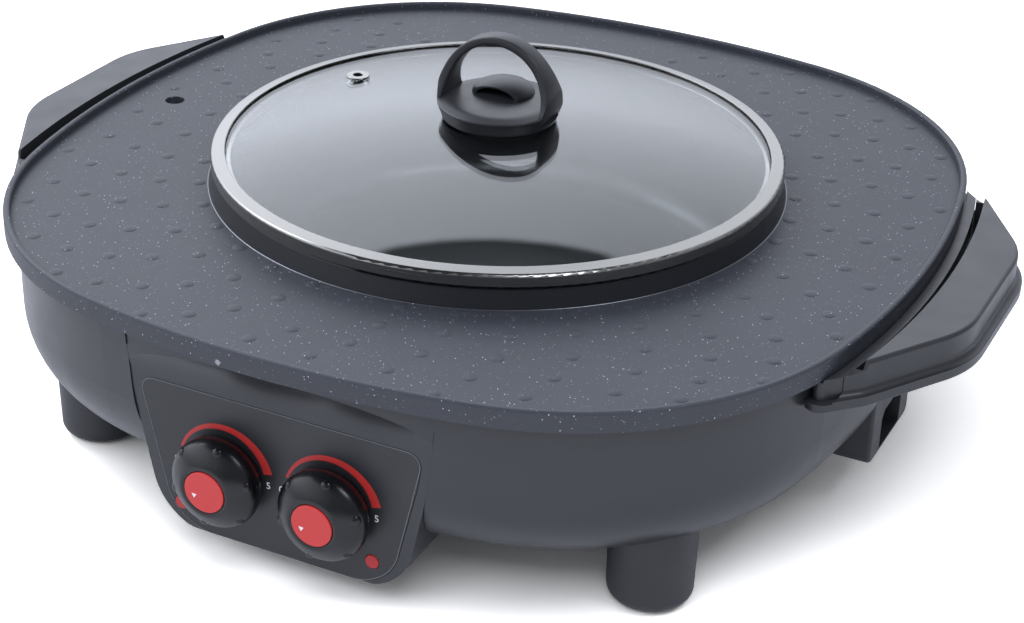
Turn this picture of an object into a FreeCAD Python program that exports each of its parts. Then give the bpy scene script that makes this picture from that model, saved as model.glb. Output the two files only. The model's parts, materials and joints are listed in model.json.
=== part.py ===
"""Electric hot pot with griddle surround and glass lid.

Millimetres, +Z up.  The origin is on the floor, under the centre of the pot.
The control panel faces -Y and the two carrying handles are on +X and -X.
"""

import FreeCAD
import Part
import math
import os

V = FreeCAD.Vector

# Griddle pan: one casting with a raised collar and a deep round well
PAN_HALF = 190.0
PAN_SIDE_RADIUS = 406.0
PAN_CORNER_RADIUS = 130.0
RIM_TOP_Z = 104.0
RIM_HEIGHT = 3.4
RIM_WIDTH = 2.8
RIM_ROUND = 1.1
BAND_HEIGHT = 8.2
BAND_WALL = 3.0
PLATE_THICKNESS = 3.5
COLLAR_BASE_RADIUS = 122.5
COLLAR_TOP_RADIUS = 119.6
COLLAR_HEIGHT = 8.6
COLLAR_ROUND = 2.0
WELL_MOUTH_RADIUS = 114.2
WELL_FLOOR_RADIUS = 111.0
WELL_DEPTH = 59.0
WELL_WALL = 3.0
WELL_CORNER = 12.0
DRAIN_INSET = 25.0
DRAIN_RADIUS = 4.4
SPOUT_WALL = 1.8
SPOUT_LENGTH = 5.0

# Lid: domed glass in a steel rim
LID_RADIUS = 121.3
LID_RIM_HEIGHT = 5.5
LID_RIM_WIDTH = 6.0
LID_SHEET = 0.7
LID_LOCATOR_DEPTH = 3.0
LID_LOCATOR_GAP = 1.0
GLASS_THICKNESS = 3.2
GLASS_DOME_RADIUS = 498.0
GLASS_RISE = 14.2
GLASS_EDGE_GAP = 0.3
VENT_POSITION = (-80.5, 20.5)
VENT_HOLE_RADIUS = 3.0
VENT_FLANGE_RADIUS = 5.2
VENT_FLANGE = 0.9

# Lid knob: round base, carrying arch and a hooded steam outlet
KNOB_BASE_RADIUS = 26.5
KNOB_BASE_FOOT_RADIUS = 24.2
KNOB_BASE_HEIGHT = 6.2
KNOB_BASE_CROWN = 1.2
KNOB_BASE_FLAT_RADIUS = 21.5
KNOB_ARCH_HEIGHT = 29.2
KNOB_ARCH_THICKNESS = 3.7
KNOB_ARCH_TOP_DEPTH = 8.0
KNOB_ARCH_FOOT_DEPTH = 21.0
KNOB_ARCH_SINK = 4.2
KNOB_SEAM_GAP = 0.1
HOOD_CENTRE = (-2.0, 7.5)
HOOD_RADIUS = 13.3
HOOD_HEIGHT = 5.8
HOOD_WALL = 1.2
HOOD_MOUTH_Y = -0.6
KNOB_SCREW_RADIUS = 2.0
KNOB_SCREW_HEAD_RADIUS = 5.0
KNOB_WASHER_RADIUS = 19.0
KNOB_WASHER_THICKNESS = 0.8

# Base bowl: the moulded body that carries the pan
BOWL_INSET = 5.2
BOWL_TOP_GAP = 0.3
BOWL_BOTTOM_Z = 27.0
BOWL_WALL = 2.6
BOWL_BOTTOM_ROUND = 36.0
BOWL_BAND_HEIGHT = 8.0
BOWL_BAND_STEP = 0.5
LEDGE_WIDTH = 7.0
LEDGE_THICKNESS = 2.4
LEDGE_DROP = 4.6
PAD_RADIUS = 3.0
PAD_OFFSET = 78.0

# Underside: service cover, feet and pads
COVER_OPENING_RADIUS = 104.0
COVER_RADIUS = 112.0
COVER_THICKNESS = 1.2
COVER_SLOTS = 12
COVER_SLOT_LENGTH = 26.0
COVER_SLOT_WIDTH = 3.5
FOOT_X = 127.0
FOOT_Y = 118.0
FOOT_RADIUS = 18.0
FOOT_TIP_RADIUS = 16.8
FOOT_TIP_ROUND = 5.0
FOOT_STAND = 1.2
FOOT_SCREW_BORE = 4.2
FOOT_WEB = 4.0
FOOT_PAD_RADIUS = 10.0
FOOT_PAD_THICKNESS = 3.4

# Control housing: the flat-faced bump in front
FACE_SETBACK = 11.0
HOUSING_DEPTH = 33.0
HOUSING_HALF_WIDTH = 66.0
HOUSING_SHOULDER_HALF_WIDTH = 63.9
HOUSING_SHOULDER_Z = 66.0
HOUSING_FOOT_HALF_WIDTH = 52.5
HOUSING_SIDE_ROUND = 60.0
HOUSING_BOTTOM_Z = 11.3
HOUSING_CORNER = 26.0
HOUSING_WALL = 2.4
HOUSING_BROW_Z = 77.0
HOUSING_BROW_ROUND = 24.0
FASCIA_HALF_WIDTH = 61.2
FASCIA_SHOULDER_HALF_WIDTH = 58.6
FASCIA_SHOULDER_Z = 60.5
FASCIA_FOOT_HALF_WIDTH = 47.0
FASCIA_TOP_Z = 75.4
FASCIA_BOTTOM_Z = 13.1
FASCIA_TOP_CORNER = 5.5
FASCIA_BOTTOM_CORNER = 20.0
FASCIA_THICKNESS = 0.8
FASCIA_PROUD = 0.2

# Control knobs, shafts and thermostats
KNOB_SPACING = 46.6
KNOB_AXIS_Z = 42.7
KNOB_RADIUS = 17.4
KNOB_SHOULDER = 5.2
KNOB_FOOT_TUCK = 0.9
KNOB_FACE_RADIUS = 11.5
KNOB_LENGTH = 14.6
KNOB_FACE_GAP = 0.9
KNOB_NUBS = 6
KNOB_NUB_ANGLE = 17.0
KNOB_NUB_RADIUS = 2.8
KNOB_NUB_PROUD = 1.3
KNOB_NUB_DEPTH = 9.9
CAP_RADIUS = 8.6
CAP_THICKNESS = 1.6
CAP_PROUD = 0.2
SHAFT_RADIUS = 3.0
SHAFT_RUNNING_GAP = 0.05
SHAFT_FIT_GAP = 0.03
SHAFT_SEAT_DEPTH = 10.0
THERMOSTAT_RADIUS = 15.0
THERMOSTAT_LENGTH = 13.0
BUSHING_RADIUS = 5.0
LAMP_LEFT_X = -44.4
LAMP_RIGHT_X = 39.8
LAMP_Z = 23.2
LENS_RADIUS = 2.9
LENS_FLANGE_RADIUS = 4.2
LENS_FLANGE = 1.2
LENS_PROUD = 0.4
LAMP_RADIUS = 3.6
LAMP_LENGTH = 15.0

# Handles: reach and end are measured out and in from the side of the pan
HANDLE_GAP = 0.8
HANDLE_RAIL = 3.8
HANDLE_GROOVE = 3.6
HANDLE_GROOVE_END_Y = 81.5
HANDLE_DROP = 2.8
HANDLE_SHELF_DROP = 4.7
HANDLE_HEIGHT = 13.6
HANDLE_WALL = 2.4
HANDLE_TOP_WALL = 2.8
HANDLE_REACH = 28.0
HANDLE_FLAT_Y = 37.9
HANDLE_FLAT_ROUND = 45.0
HANDLE_HIP_REACH = 0.9
HANDLE_HIP_Y = 81.5
HANDLE_HIP_ROUND = 14.0
HANDLE_END_INSET = 15.0
HANDLE_END_Y = 98.2
HANDLE_END_ROUND = 3.0
HANDLE_EDGE_ROUND = 1.6
HANDLE_TIP_Y = 79.4
HANDLE_TIP_SLOPE = 1.2
HANDLE_TIP_DROP = 3.2
HANDLE_SHELF_Y = 86.0
FLANGE_REACH = 3.0
FLANGE_UPPER_HEIGHT = 0.8
FLANGE_LOWER_HEIGHT = 3.6
FLANGE_ROUND = 2.9
HANDLE_SCREW_Y = 34.0

# Drip cup, its brackets and the chute above it
BRACKET_INSET = 8.0
BRACKET_DEPTH = 37.0
BRACKET_HALF_WIDTH = 25.5
BRACKET_BOTTOM_Z = 22.6
BRACKET_TOP_Z = 81.0
BRACKET_WALL = 2.6
BRACKET_CHAMFER = 9.0
BRACKET_CORNER = 4.0
BRACKET_EDGE_ROUND = 1.6
BAY_HALF_WIDTH = 13.0
BAY_HEIGHT = 17.0
BAY_FLOOR = 2.0
BAY_CHAMFER = 3.0
CHUTE_BORE_RADIUS = 8.0
CHUTE_WALL = 1.6
CUP_SIDE_GAP = 0.8
CUP_RIM_GAP = 2.0
CUP_WALL = 1.4
CUP_BACK_GAP = 1.2
CUP_LIP = 6.0

# Heating: reflector dish, griddle element and pot element
SHIELD_SHEET = 0.8
SHIELD_FLOOR_Z = 32.0
SHIELD_FLOOR_RADIUS = 112.0
SHIELD_MOUTH_RADIUS = 122.0
SHIELD_FLANGE_DROP = 13.1
SHIELD_FLANGE_INSET = 41.0
SHIELD_BOSS_RADIUS = 88.0
ELEMENT_RADIUS = 3.5
GRILL_ELEMENT_INSET = 50.0
GRILL_LEAD_X = 22.0
GRILL_LEAD_BEND = 10.0
GRILL_LEAD_DROP = 18.0
POT_ELEMENT_RADIUS = 68.0
POT_ELEMENT_DROP = 6.2
POT_REST_THICKNESS = 3.0
POT_REST_HALF_WIDTH = 6.0
POT_LEAD_X = 16.0
POT_LEAD_BEND = 9.0
POT_LEAD_LENGTH = 50.0
LEAD_HOLE_GAP = 1.2
CLAMP_SHEET = 0.8
CLAMP_WIDTH = 9.0
CLAMP_TAB = 7.0

# Rear power inlet
INLET_Z = 52.0
INLET_WIDTH = 27.0
INLET_HEIGHT = 19.5
INLET_WALL = 2.0
INLET_DEPTH = 17.0
INLET_FLANGE_WIDTH = 50.0
INLET_FLANGE_HEIGHT = 27.0
INLET_FLANGE = 2.6
INLET_SCREW_INSET = 5.0
PIN_PITCH = 7.0
PIN_WIDTH = 2.0
PIN_HEIGHT = 4.0
PIN_LENGTH = 13.0
TERMINAL_BLOCK_SIZE = (34.0, 18.0, 14.0)
TERMINAL_BLOCK_Y = 128.0
FUSE_RADIUS = 3.0
FUSE_LENGTH = 22.0

# Small screws and shared clearances
SCREW_RADIUS = 1.5
SCREW_HEAD_RADIUS = 3.0
SCREW_HEAD_HEIGHT = 2.0
SCREW_HOLE_GAP = 0.2
BOSS_RADIUS = 4.2
FIT_GAP = 0.2

# Heights and places that follow from the sizes above
GRIDDLE_Z = RIM_TOP_Z - RIM_HEIGHT
PLATE_UNDER_Z = GRIDDLE_Z - PLATE_THICKNESS
BAND_BOTTOM_Z = RIM_TOP_Z - BAND_HEIGHT
COLLAR_TOP_Z = GRIDDLE_Z + COLLAR_HEIGHT
WELL_FLOOR_Z = COLLAR_TOP_Z - WELL_DEPTH
BOWL_TOP_Z = BAND_BOTTOM_Z - BOWL_TOP_GAP
LEDGE_Z = BOWL_TOP_Z - LEDGE_DROP
LID_RIM_TOP_Z = COLLAR_TOP_Z + LID_RIM_HEIGHT
GLASS_EDGE_RADIUS = LID_RADIUS - LID_SHEET - GLASS_EDGE_GAP
GLASS_TOP_Z = LID_RIM_TOP_Z - LID_SHEET + GLASS_RISE
KNOB_BASE_Z = GLASS_TOP_Z + KNOB_WASHER_THICKNESS / 2
KNOB_BASE_TOP_Z = KNOB_BASE_Z + KNOB_BASE_HEIGHT
DRAIN_X = DRAIN_INSET - PAN_HALF
FACE_Y = FACE_SETBACK - PAN_HALF
HOUSING_BACK_Y = FACE_Y + HOUSING_DEPTH
HANDLE_TOP_Z = RIM_TOP_Z - HANDLE_DROP
HANDLE_SHELF_Z = HANDLE_TOP_Z - HANDLE_SHELF_DROP
HANDLE_PARTING_Z = HANDLE_TOP_Z - HANDLE_HEIGHT
BRACKET_OUTER_X = PAN_HALF - BRACKET_INSET
BRACKET_INNER_X = BRACKET_OUTER_X - BRACKET_DEPTH
BAY_BACK_X = BRACKET_INNER_X + BRACKET_WALL
BAY_FLOOR_Z = BRACKET_BOTTOM_Z + BAY_FLOOR
BAY_ROOF_Z = BAY_FLOOR_Z + BAY_HEIGHT
SHIELD_FLANGE_Z = PLATE_UNDER_Z - SHIELD_FLANGE_DROP
GRILL_ELEMENT_Z = SHIELD_FLANGE_Z + SHIELD_SHEET + ELEMENT_RADIUS + FIT_GAP
POT_ELEMENT_Z = WELL_FLOOR_Z - WELL_WALL - POT_ELEMENT_DROP


def outline(inset, z):
    """The pan's plan outline, moved in by inset: four shallow sides and four round corners."""
    half = PAN_HALF - inset
    side = PAN_SIDE_RADIUS - inset
    corner = PAN_CORNER_RADIUS - inset
    offset = side - half
    corner_centre = (math.sqrt(2 * (side - corner) ** 2 - offset ** 2) - offset) / 2
    spread = math.atan2(corner_centre, corner_centre + offset)
    edges = []
    for quarter in range(4):
        turn = quarter * math.pi / 2
        side_centre = polar(half - side, turn, z)
        edges.append(arc(side_centre, side, turn - spread, turn + spread))
        centre = polar(corner_centre * math.sqrt(2), turn + math.pi / 4, z)
        edges.append(arc(centre, corner, turn + spread, turn + math.pi / 2 - spread))
    return Part.Wire(edges)


def polar(radius, angle, z):
    return V(radius * math.cos(angle), radius * math.sin(angle), z)


def arc(centre, radius, start, end):
    """A level arc between two angles in radians."""
    points = [centre + polar(radius, angle, 0) for angle in (start, (start + end) / 2, end)]
    return Part.Arc(*points).toShape()


def slab(inset, z_low, z_high):
    """A plate of the pan's outline."""
    return Part.Face(outline(inset, z_low)).extrude(V(0, 0, z_high - z_low))


def on_plan(z):
    return lambda u, v: V(u, v, z)


def on_front(y):
    return lambda u, v: V(u, y, v)


def on_side(x):
    return lambda u, v: V(x, u, v)


def polygon(corners, place):
    """A closed wire through (u, v, radius) corners, each rounded by its radius."""
    arcs = []
    count = len(corners)
    for index, (u, v, radius) in enumerate(corners):
        here = place(u, v)
        before = place(*corners[index - 1][:2]) - here
        after = place(*corners[(index + 1) % count][:2]) - here
        before.normalize()
        after.normalize()
        half_angle = before.getAngle(after) / 2
        reach = radius / math.tan(half_angle)
        middle = before + after
        middle.normalize()
        crown = here + middle * (radius / math.sin(half_angle) - radius)
        arcs.append((here + before * reach, crown, here + after * reach, radius))
    edges = []
    for index, (start, crown, end, radius) in enumerate(arcs):
        if radius > 0:
            edges.append(Part.Arc(start, crown, end).toShape())
        following = arcs[(index + 1) % count][0]
        if end.distanceToPoint(following) > 1e-6:
            edges.append(Part.makeLine(end, following))
    return Part.Wire(edges)


def prism(corners, place, depth):
    """A polygon with rounded corners pushed along the vector depth."""
    return Part.Face(polygon(corners, place)).extrude(depth)


def turned(corners):
    """A solid of revolution about +Z from (radius, z, rounding) corners."""
    return Part.Face(polygon(corners, on_front(0))).revolve(V(0, 0, 0), V(0, 0, 1), 360)


def block(low, high):
    return Part.makeBox(high[0] - low[0], high[1] - low[1], high[2] - low[2], V(*low))


def rod(radius, start, end):
    """A round bar between two points."""
    return Part.makeCylinder(radius, (end - start).Length, start, end - start)


def mirrored(shape):
    """The same shape on the other side of the plane x = 0."""
    return shape.mirror(V(0, 0, 0), V(1, 0, 0))


def fused(shapes):
    return shapes[0].multiFuse(shapes[1:]).removeSplitter()


def group(shapes):
    """Separate solids that share one node."""
    return Part.makeCompound(shapes)


def screw(tip, head_seat):
    """A pan-head screw from its tip to the underside of its head."""
    along = head_seat - tip
    along.normalize()
    shank = rod(SCREW_RADIUS, tip, head_seat)
    head = rod(SCREW_HEAD_RADIUS, head_seat, head_seat + along * SCREW_HEAD_HEIGHT)
    rounded = head.makeFillet(SCREW_HEAD_HEIGHT * 0.4, [head.Edges[0]])
    return fused([shank, rounded])


def export(node, shape):
    os.makedirs("parts", exist_ok=True)
    shape.exportStep("parts/" + node + ".step")


# Griddle pan

def griddle_pan():
    """Griddle plate with its band and lip, a collar, the well and the drain spout."""
    plate = slab(0, BAND_BOTTOM_Z, RIM_TOP_Z)
    plate = plate.cut(slab(RIM_WIDTH, GRIDDLE_Z, RIM_TOP_Z + 1))
    plate = plate.cut(slab(BAND_WALL, BAND_BOTTOM_Z - 1, PLATE_UNDER_Z))
    lip = [edge for edge in plate.Edges if edge.BoundBox.ZMin > RIM_TOP_Z - 0.01]
    plate = plate.makeFillet(RIM_ROUND, lip)
    hole = Part.makeCylinder(COLLAR_BASE_RADIUS - 2, 20, V(0, 0, PLATE_UNDER_Z - 5))
    well = turned([
        (0, WELL_FLOOR_Z - WELL_WALL, 0),
        (WELL_FLOOR_RADIUS + WELL_WALL, WELL_FLOOR_Z - WELL_WALL, WELL_CORNER + WELL_WALL),
        (WELL_MOUTH_RADIUS + WELL_WALL, PLATE_UNDER_Z, 0),
        (COLLAR_BASE_RADIUS, PLATE_UNDER_Z, 0),
        (COLLAR_BASE_RADIUS, GRIDDLE_Z, 0),
        (COLLAR_TOP_RADIUS, COLLAR_TOP_Z, COLLAR_ROUND),
        (WELL_MOUTH_RADIUS, COLLAR_TOP_Z, COLLAR_ROUND / 2),
        (WELL_FLOOR_RADIUS, WELL_FLOOR_Z, WELL_CORNER),
        (0, WELL_FLOOR_Z, 0),
    ])
    spout_end = V(DRAIN_X, 0, PLATE_UNDER_Z - SPOUT_LENGTH)
    spout = rod(DRAIN_RADIUS + SPOUT_WALL, spout_end, V(DRAIN_X, 0, GRIDDLE_Z - 1))
    drain = rod(DRAIN_RADIUS, spout_end - V(0, 0, 1), V(DRAIN_X, 0, RIM_TOP_Z))
    return fused([plate.cut(hole), well, spout]).cut(drain)


# Lid

def glass_height(radius):
    """Height of the glass's outer surface at a distance from the lid's axis."""
    drop = GLASS_DOME_RADIUS - math.sqrt(GLASS_DOME_RADIUS ** 2 - radius ** 2)
    return GLASS_TOP_Z - drop


def lid_glass():
    """A shallow dome of even thickness with a flat rim, holed for the knob and the vent."""
    dome_centre = V(0, 0, GLASS_TOP_Z - GLASS_DOME_RADIUS)
    outer = Part.makeSphere(GLASS_DOME_RADIUS, dome_centre)
    inner = Part.makeSphere(GLASS_DOME_RADIUS - GLASS_THICKNESS, dome_centre)
    disc = Part.makeCylinder(GLASS_EDGE_RADIUS, GLASS_RISE * 3, V(0, 0, glass_edge_z()))
    dome = disc.common(outer).cut(inner)
    knob_hole = Part.makeCylinder(KNOB_SCREW_RADIUS + 2 * FIT_GAP, 60, V(0, 0, GLASS_TOP_Z - 30))
    x, y = VENT_POSITION
    vent_hole = Part.makeCylinder(VENT_HOLE_RADIUS, 60, V(x, y, GLASS_TOP_Z - 40))
    return dome.cut(knob_hole).cut(vent_hole)


def glass_edge_z():
    return glass_height(GLASS_EDGE_RADIUS) - GLASS_THICKNESS


def lid_rim():
    """Rolled steel channel round the glass, with a locating lip inside the well's mouth."""
    top = LID_RIM_TOP_Z
    inner = LID_RADIUS - LID_RIM_WIDTH
    locator = WELL_MOUTH_RADIUS - LID_LOCATOR_GAP
    channel_floor = glass_edge_z() - GLASS_EDGE_GAP
    return turned([
        (LID_RADIUS, COLLAR_TOP_Z, 0.6),
        (LID_RADIUS, top, 1.2),
        (inner, glass_height(inner) + GLASS_EDGE_GAP + LID_SHEET, 0.3),
        (inner, glass_height(inner) + GLASS_EDGE_GAP, 0),
        (GLASS_EDGE_RADIUS + GLASS_EDGE_GAP, glass_height(GLASS_EDGE_RADIUS) + GLASS_EDGE_GAP, 0),
        (GLASS_EDGE_RADIUS + GLASS_EDGE_GAP, channel_floor, 0),
        (locator - LID_SHEET, channel_floor, 0.4),
        (locator - LID_SHEET, COLLAR_TOP_Z - LID_LOCATOR_DEPTH, 0),
        (locator, COLLAR_TOP_Z - LID_LOCATOR_DEPTH, 0),
        (locator, COLLAR_TOP_Z, 0),
    ])


def lid_vent_grommet():
    """Steel eyelet in the steam hole, with a flange above and below the glass."""
    x, y = VENT_POSITION
    height = glass_height(math.hypot(x, y))
    lift = 0.95
    bore = VENT_HOLE_RADIUS - 0.2 - LID_SHEET
    top = height + lift
    bottom = height - GLASS_THICKNESS - lift - 0.4
    eyelet = turned([
        (bore, bottom - VENT_FLANGE, 0.3),
        (bore, top + VENT_FLANGE, 0.3),
        (VENT_FLANGE_RADIUS, top + VENT_FLANGE, 0.4),
        (VENT_FLANGE_RADIUS, top, 0.2),
        (VENT_HOLE_RADIUS - 0.2, top, 0),
        (VENT_HOLE_RADIUS - 0.2, bottom, 0),
        (VENT_FLANGE_RADIUS - 0.6, bottom, 0.2),
        (VENT_FLANGE_RADIUS - 0.6, bottom - VENT_FLANGE, 0.3),
    ])
    return eyelet.translated(V(x, y, 0))


def knob_arch_body(gap):
    """The carrying arch, grown by gap: an arched band, broad at its feet and narrow on top."""
    top = KNOB_BASE_TOP_Z + KNOB_ARCH_HEIGHT + gap
    foot = KNOB_BASE_TOP_Z - KNOB_ARCH_SINK - gap
    outer_half = KNOB_BASE_RADIUS + gap
    inner_half = KNOB_BASE_RADIUS - KNOB_ARCH_THICKNESS - gap
    inner_top = KNOB_BASE_TOP_Z + KNOB_ARCH_HEIGHT - KNOB_ARCH_THICKNESS - gap
    outside = arch_face(outer_half, foot, top)
    inside = arch_face(inner_half, foot - 1, inner_top)
    reach = KNOB_ARCH_FOOT_DEPTH
    band = outside.cut(inside).extrude(V(0, 2 * reach, 0)).translated(V(0, -reach, 0))
    foot_half = KNOB_ARCH_FOOT_DEPTH / 2 + gap
    top_half = KNOB_ARCH_TOP_DEPTH / 2 + gap
    waist_z = KNOB_BASE_TOP_Z + KNOB_ARCH_HEIGHT * 0.3
    taper = prism([
        (-foot_half, foot, 0),
        (foot_half, foot, 0),
        (foot_half * 0.86, waist_z, 30),
        (top_half, top, 0),
        (-top_half, top, 0),
        (-foot_half * 0.86, waist_z, 30),
    ], on_side(-outer_half - 1), V(2 * outer_half + 2, 0, 0))
    flank = turned([
        (0, KNOB_BASE_Z, 0),
        (KNOB_BASE_FOOT_RADIUS + gap, KNOB_BASE_Z, 0),
        (outer_half, KNOB_BASE_TOP_Z, 0),
        (outer_half, top + 1, 0),
        (0, top + 1, 0),
    ])
    return band.common(taper).common(flank)


def arch_face(half, foot, top):
    """An arch outline: upright feet, then half an ellipse over the top."""
    spring = KNOB_BASE_TOP_Z + 1.0
    crown = V(0, 0, top)
    right = V(half, 0, spring)
    left = V(-half, 0, spring)
    if top - spring > half:
        ellipse = Part.Ellipse(crown, left, V(0, 0, spring))
        over = Part.ArcOfEllipse(ellipse, -math.pi / 2, math.pi / 2).toShape()
    else:
        ellipse = Part.Ellipse(right, crown, V(0, 0, spring))
        over = Part.ArcOfEllipse(ellipse, 0, math.pi).toShape()
    foot_right = V(half, 0, foot)
    foot_left = V(-half, 0, foot)
    sides = [Part.makeLine(left, foot_left), Part.makeLine(foot_left, foot_right), Part.makeLine(foot_right, right)]
    return Part.Face(Part.Wire([over] + sides))


def lid_knob_arch():
    """Arched grip whose feet run flush into the side of the knob's base."""
    return knob_arch_body(0)


def lid_knob_base():
    """Round base with a crowned top, an undercut edge and a socket for the screw."""
    washer_pocket = KNOB_WASHER_RADIUS + 1.0
    base = turned([
        (0, KNOB_BASE_Z + KNOB_WASHER_THICKNESS, 0),
        (washer_pocket, KNOB_BASE_Z + KNOB_WASHER_THICKNESS, 0),
        (washer_pocket, KNOB_BASE_Z, 0),
        (KNOB_BASE_FOOT_RADIUS, KNOB_BASE_Z, 0.4),
        (KNOB_BASE_RADIUS, KNOB_BASE_TOP_Z, 0.6),
        (KNOB_BASE_FLAT_RADIUS, KNOB_BASE_TOP_Z + KNOB_BASE_CROWN, 12),
        (0, KNOB_BASE_TOP_Z + KNOB_BASE_CROWN, 0),
    ])
    socket = Part.makeCylinder(
        KNOB_SCREW_RADIUS + FIT_GAP / 2, KNOB_BASE_HEIGHT, V(0, 0, KNOB_BASE_Z - 1))
    return base.cut(knob_arch_body(KNOB_SEAM_GAP)).cut(socket)


def lid_knob_hood():
    """Low hollow hood behind the middle of the base, cut off in front so that it opens as a crescent."""
    foot = KNOB_BASE_TOP_Z + KNOB_BASE_CROWN
    squash = FreeCAD.Matrix()
    squash.scale(1, 1, HOOD_HEIGHT / HOOD_RADIUS)
    outer = Part.makeSphere(HOOD_RADIUS, V(0, 0, 0), V(0, 0, 1), 0, 90, 360)
    inner = Part.makeSphere(HOOD_RADIUS - HOOD_WALL, V(0, 0, 0), V(0, 0, 1), 0, 90, 360)
    x, y = HOOD_CENTRE
    shell = outer.cut(inner).transformGeometry(squash).translated(V(x, y, foot))
    front = block(
        (x - HOOD_RADIUS, y - HOOD_RADIUS, foot - 1), (x + HOOD_RADIUS, HOOD_MOUTH_Y, foot + HOOD_HEIGHT + 1))
    return shell.cut(front)


def lid_knob_washer():
    """Soft washer between the glass and the knob, hollowed to the dome of the glass."""
    disc = Part.makeCylinder(
        KNOB_WASHER_RADIUS, 3 * KNOB_WASHER_THICKNESS,
        V(0, 0, KNOB_BASE_Z - 2 * KNOB_WASHER_THICKNESS))
    dome = Part.makeSphere(GLASS_DOME_RADIUS, V(0, 0, GLASS_TOP_Z - GLASS_DOME_RADIUS))
    bore = Part.makeCylinder(KNOB_SCREW_RADIUS + FIT_GAP, 30, V(0, 0, GLASS_TOP_Z - 15))
    return disc.cut(dome).cut(bore)


def lid_knob_screw():
    """Screw from under the glass into the knob's base, with a flanged head."""
    under = GLASS_TOP_Z - GLASS_THICKNESS - FIT_GAP / 2
    shank = rod(KNOB_SCREW_RADIUS, V(0, 0, under), V(0, 0, KNOB_BASE_TOP_Z - 2))
    head = rod(KNOB_SCREW_HEAD_RADIUS, V(0, 0, under - 2.2), V(0, 0, under))
    head = head.makeFillet(0.8, [edge for edge in head.Edges if edge.BoundBox.ZMax < under - 2])
    return fused([shank, head])


# Base bowl and underside

def bowl_solid(inset, z_low, z_top, rounding):
    """The bowl's outer form without its hollow: a plate of the outline with a round bottom."""
    body = slab(inset, z_low, z_top)
    edges = [edge for edge in body.Edges if edge.BoundBox.ZMax < z_low + 0.01]
    return body.makeFillet(rounding, edges)


def bowl_outside():
    return bowl_solid(BOWL_INSET, BOWL_BOTTOM_Z, BOWL_TOP_Z, BOWL_BOTTOM_ROUND)


def foot_places():
    return {
        "front_left": (-FOOT_X, -FOOT_Y),
        "front_right": (FOOT_X, -FOOT_Y),
        "rear_left": (-FOOT_X, FOOT_Y),
        "rear_right": (FOOT_X, FOOT_Y),
    }


def pad_places():
    """Eight rests for the pan, two on each side of the bowl's ledge."""
    inset = BOWL_INSET + BOWL_WALL + LEDGE_WIDTH / 2
    side = PAN_SIDE_RADIUS - inset
    along = PAD_OFFSET
    across = PAN_HALF - inset - (side - math.sqrt(side ** 2 - along ** 2))
    places = []
    for end in (-1, 1):
        for way in (-1, 1):
            places.append((way * across, end * along))
            places.append((end * along, way * across))
    return places


def cover_screw_places():
    radius = (COVER_OPENING_RADIUS + COVER_RADIUS) / 2
    return [polar(radius, math.pi / 4 + quarter * math.pi / 2, 0) for quarter in range(4)]


def shield_screw_places():
    return [polar(SHIELD_BOSS_RADIUS, quarter * math.pi / 2, 0) for quarter in range(4)]


def housing_outline(grow):
    """Front outline of the control housing, grown outwards by grow."""
    top_z = BOWL_TOP_Z + (1 if grow > 0 else grow)
    half = HOUSING_HALF_WIDTH + grow
    shoulder = HOUSING_SHOULDER_HALF_WIDTH + grow
    foot = HOUSING_FOOT_HALF_WIDTH + grow
    low = HOUSING_BOTTOM_Z - grow
    return [
        (-half, top_z, 0),
        (-shoulder, HOUSING_SHOULDER_Z, HOUSING_SIDE_ROUND),
        (-foot, low, HOUSING_CORNER + grow),
        (foot, low, HOUSING_CORNER + grow),
        (shoulder, HOUSING_SHOULDER_Z, HOUSING_SIDE_ROUND),
        (half, top_z, 0),
    ]


def bracket_outline(grow):
    """Side-on outline of a drip cup bracket, with chamfered top corners."""
    half = BRACKET_HALF_WIDTH + grow
    low = BRACKET_BOTTOM_Z - grow
    high = BRACKET_TOP_Z + grow
    corner = BRACKET_CORNER + grow
    return [
        (-half, low, corner), (half, low, corner),
        (half, high - BRACKET_CHAMFER, 0), (half - BRACKET_CHAMFER, high, 0),
        (-half + BRACKET_CHAMFER, high, 0), (-half, high - BRACKET_CHAMFER, 0),
    ]


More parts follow.
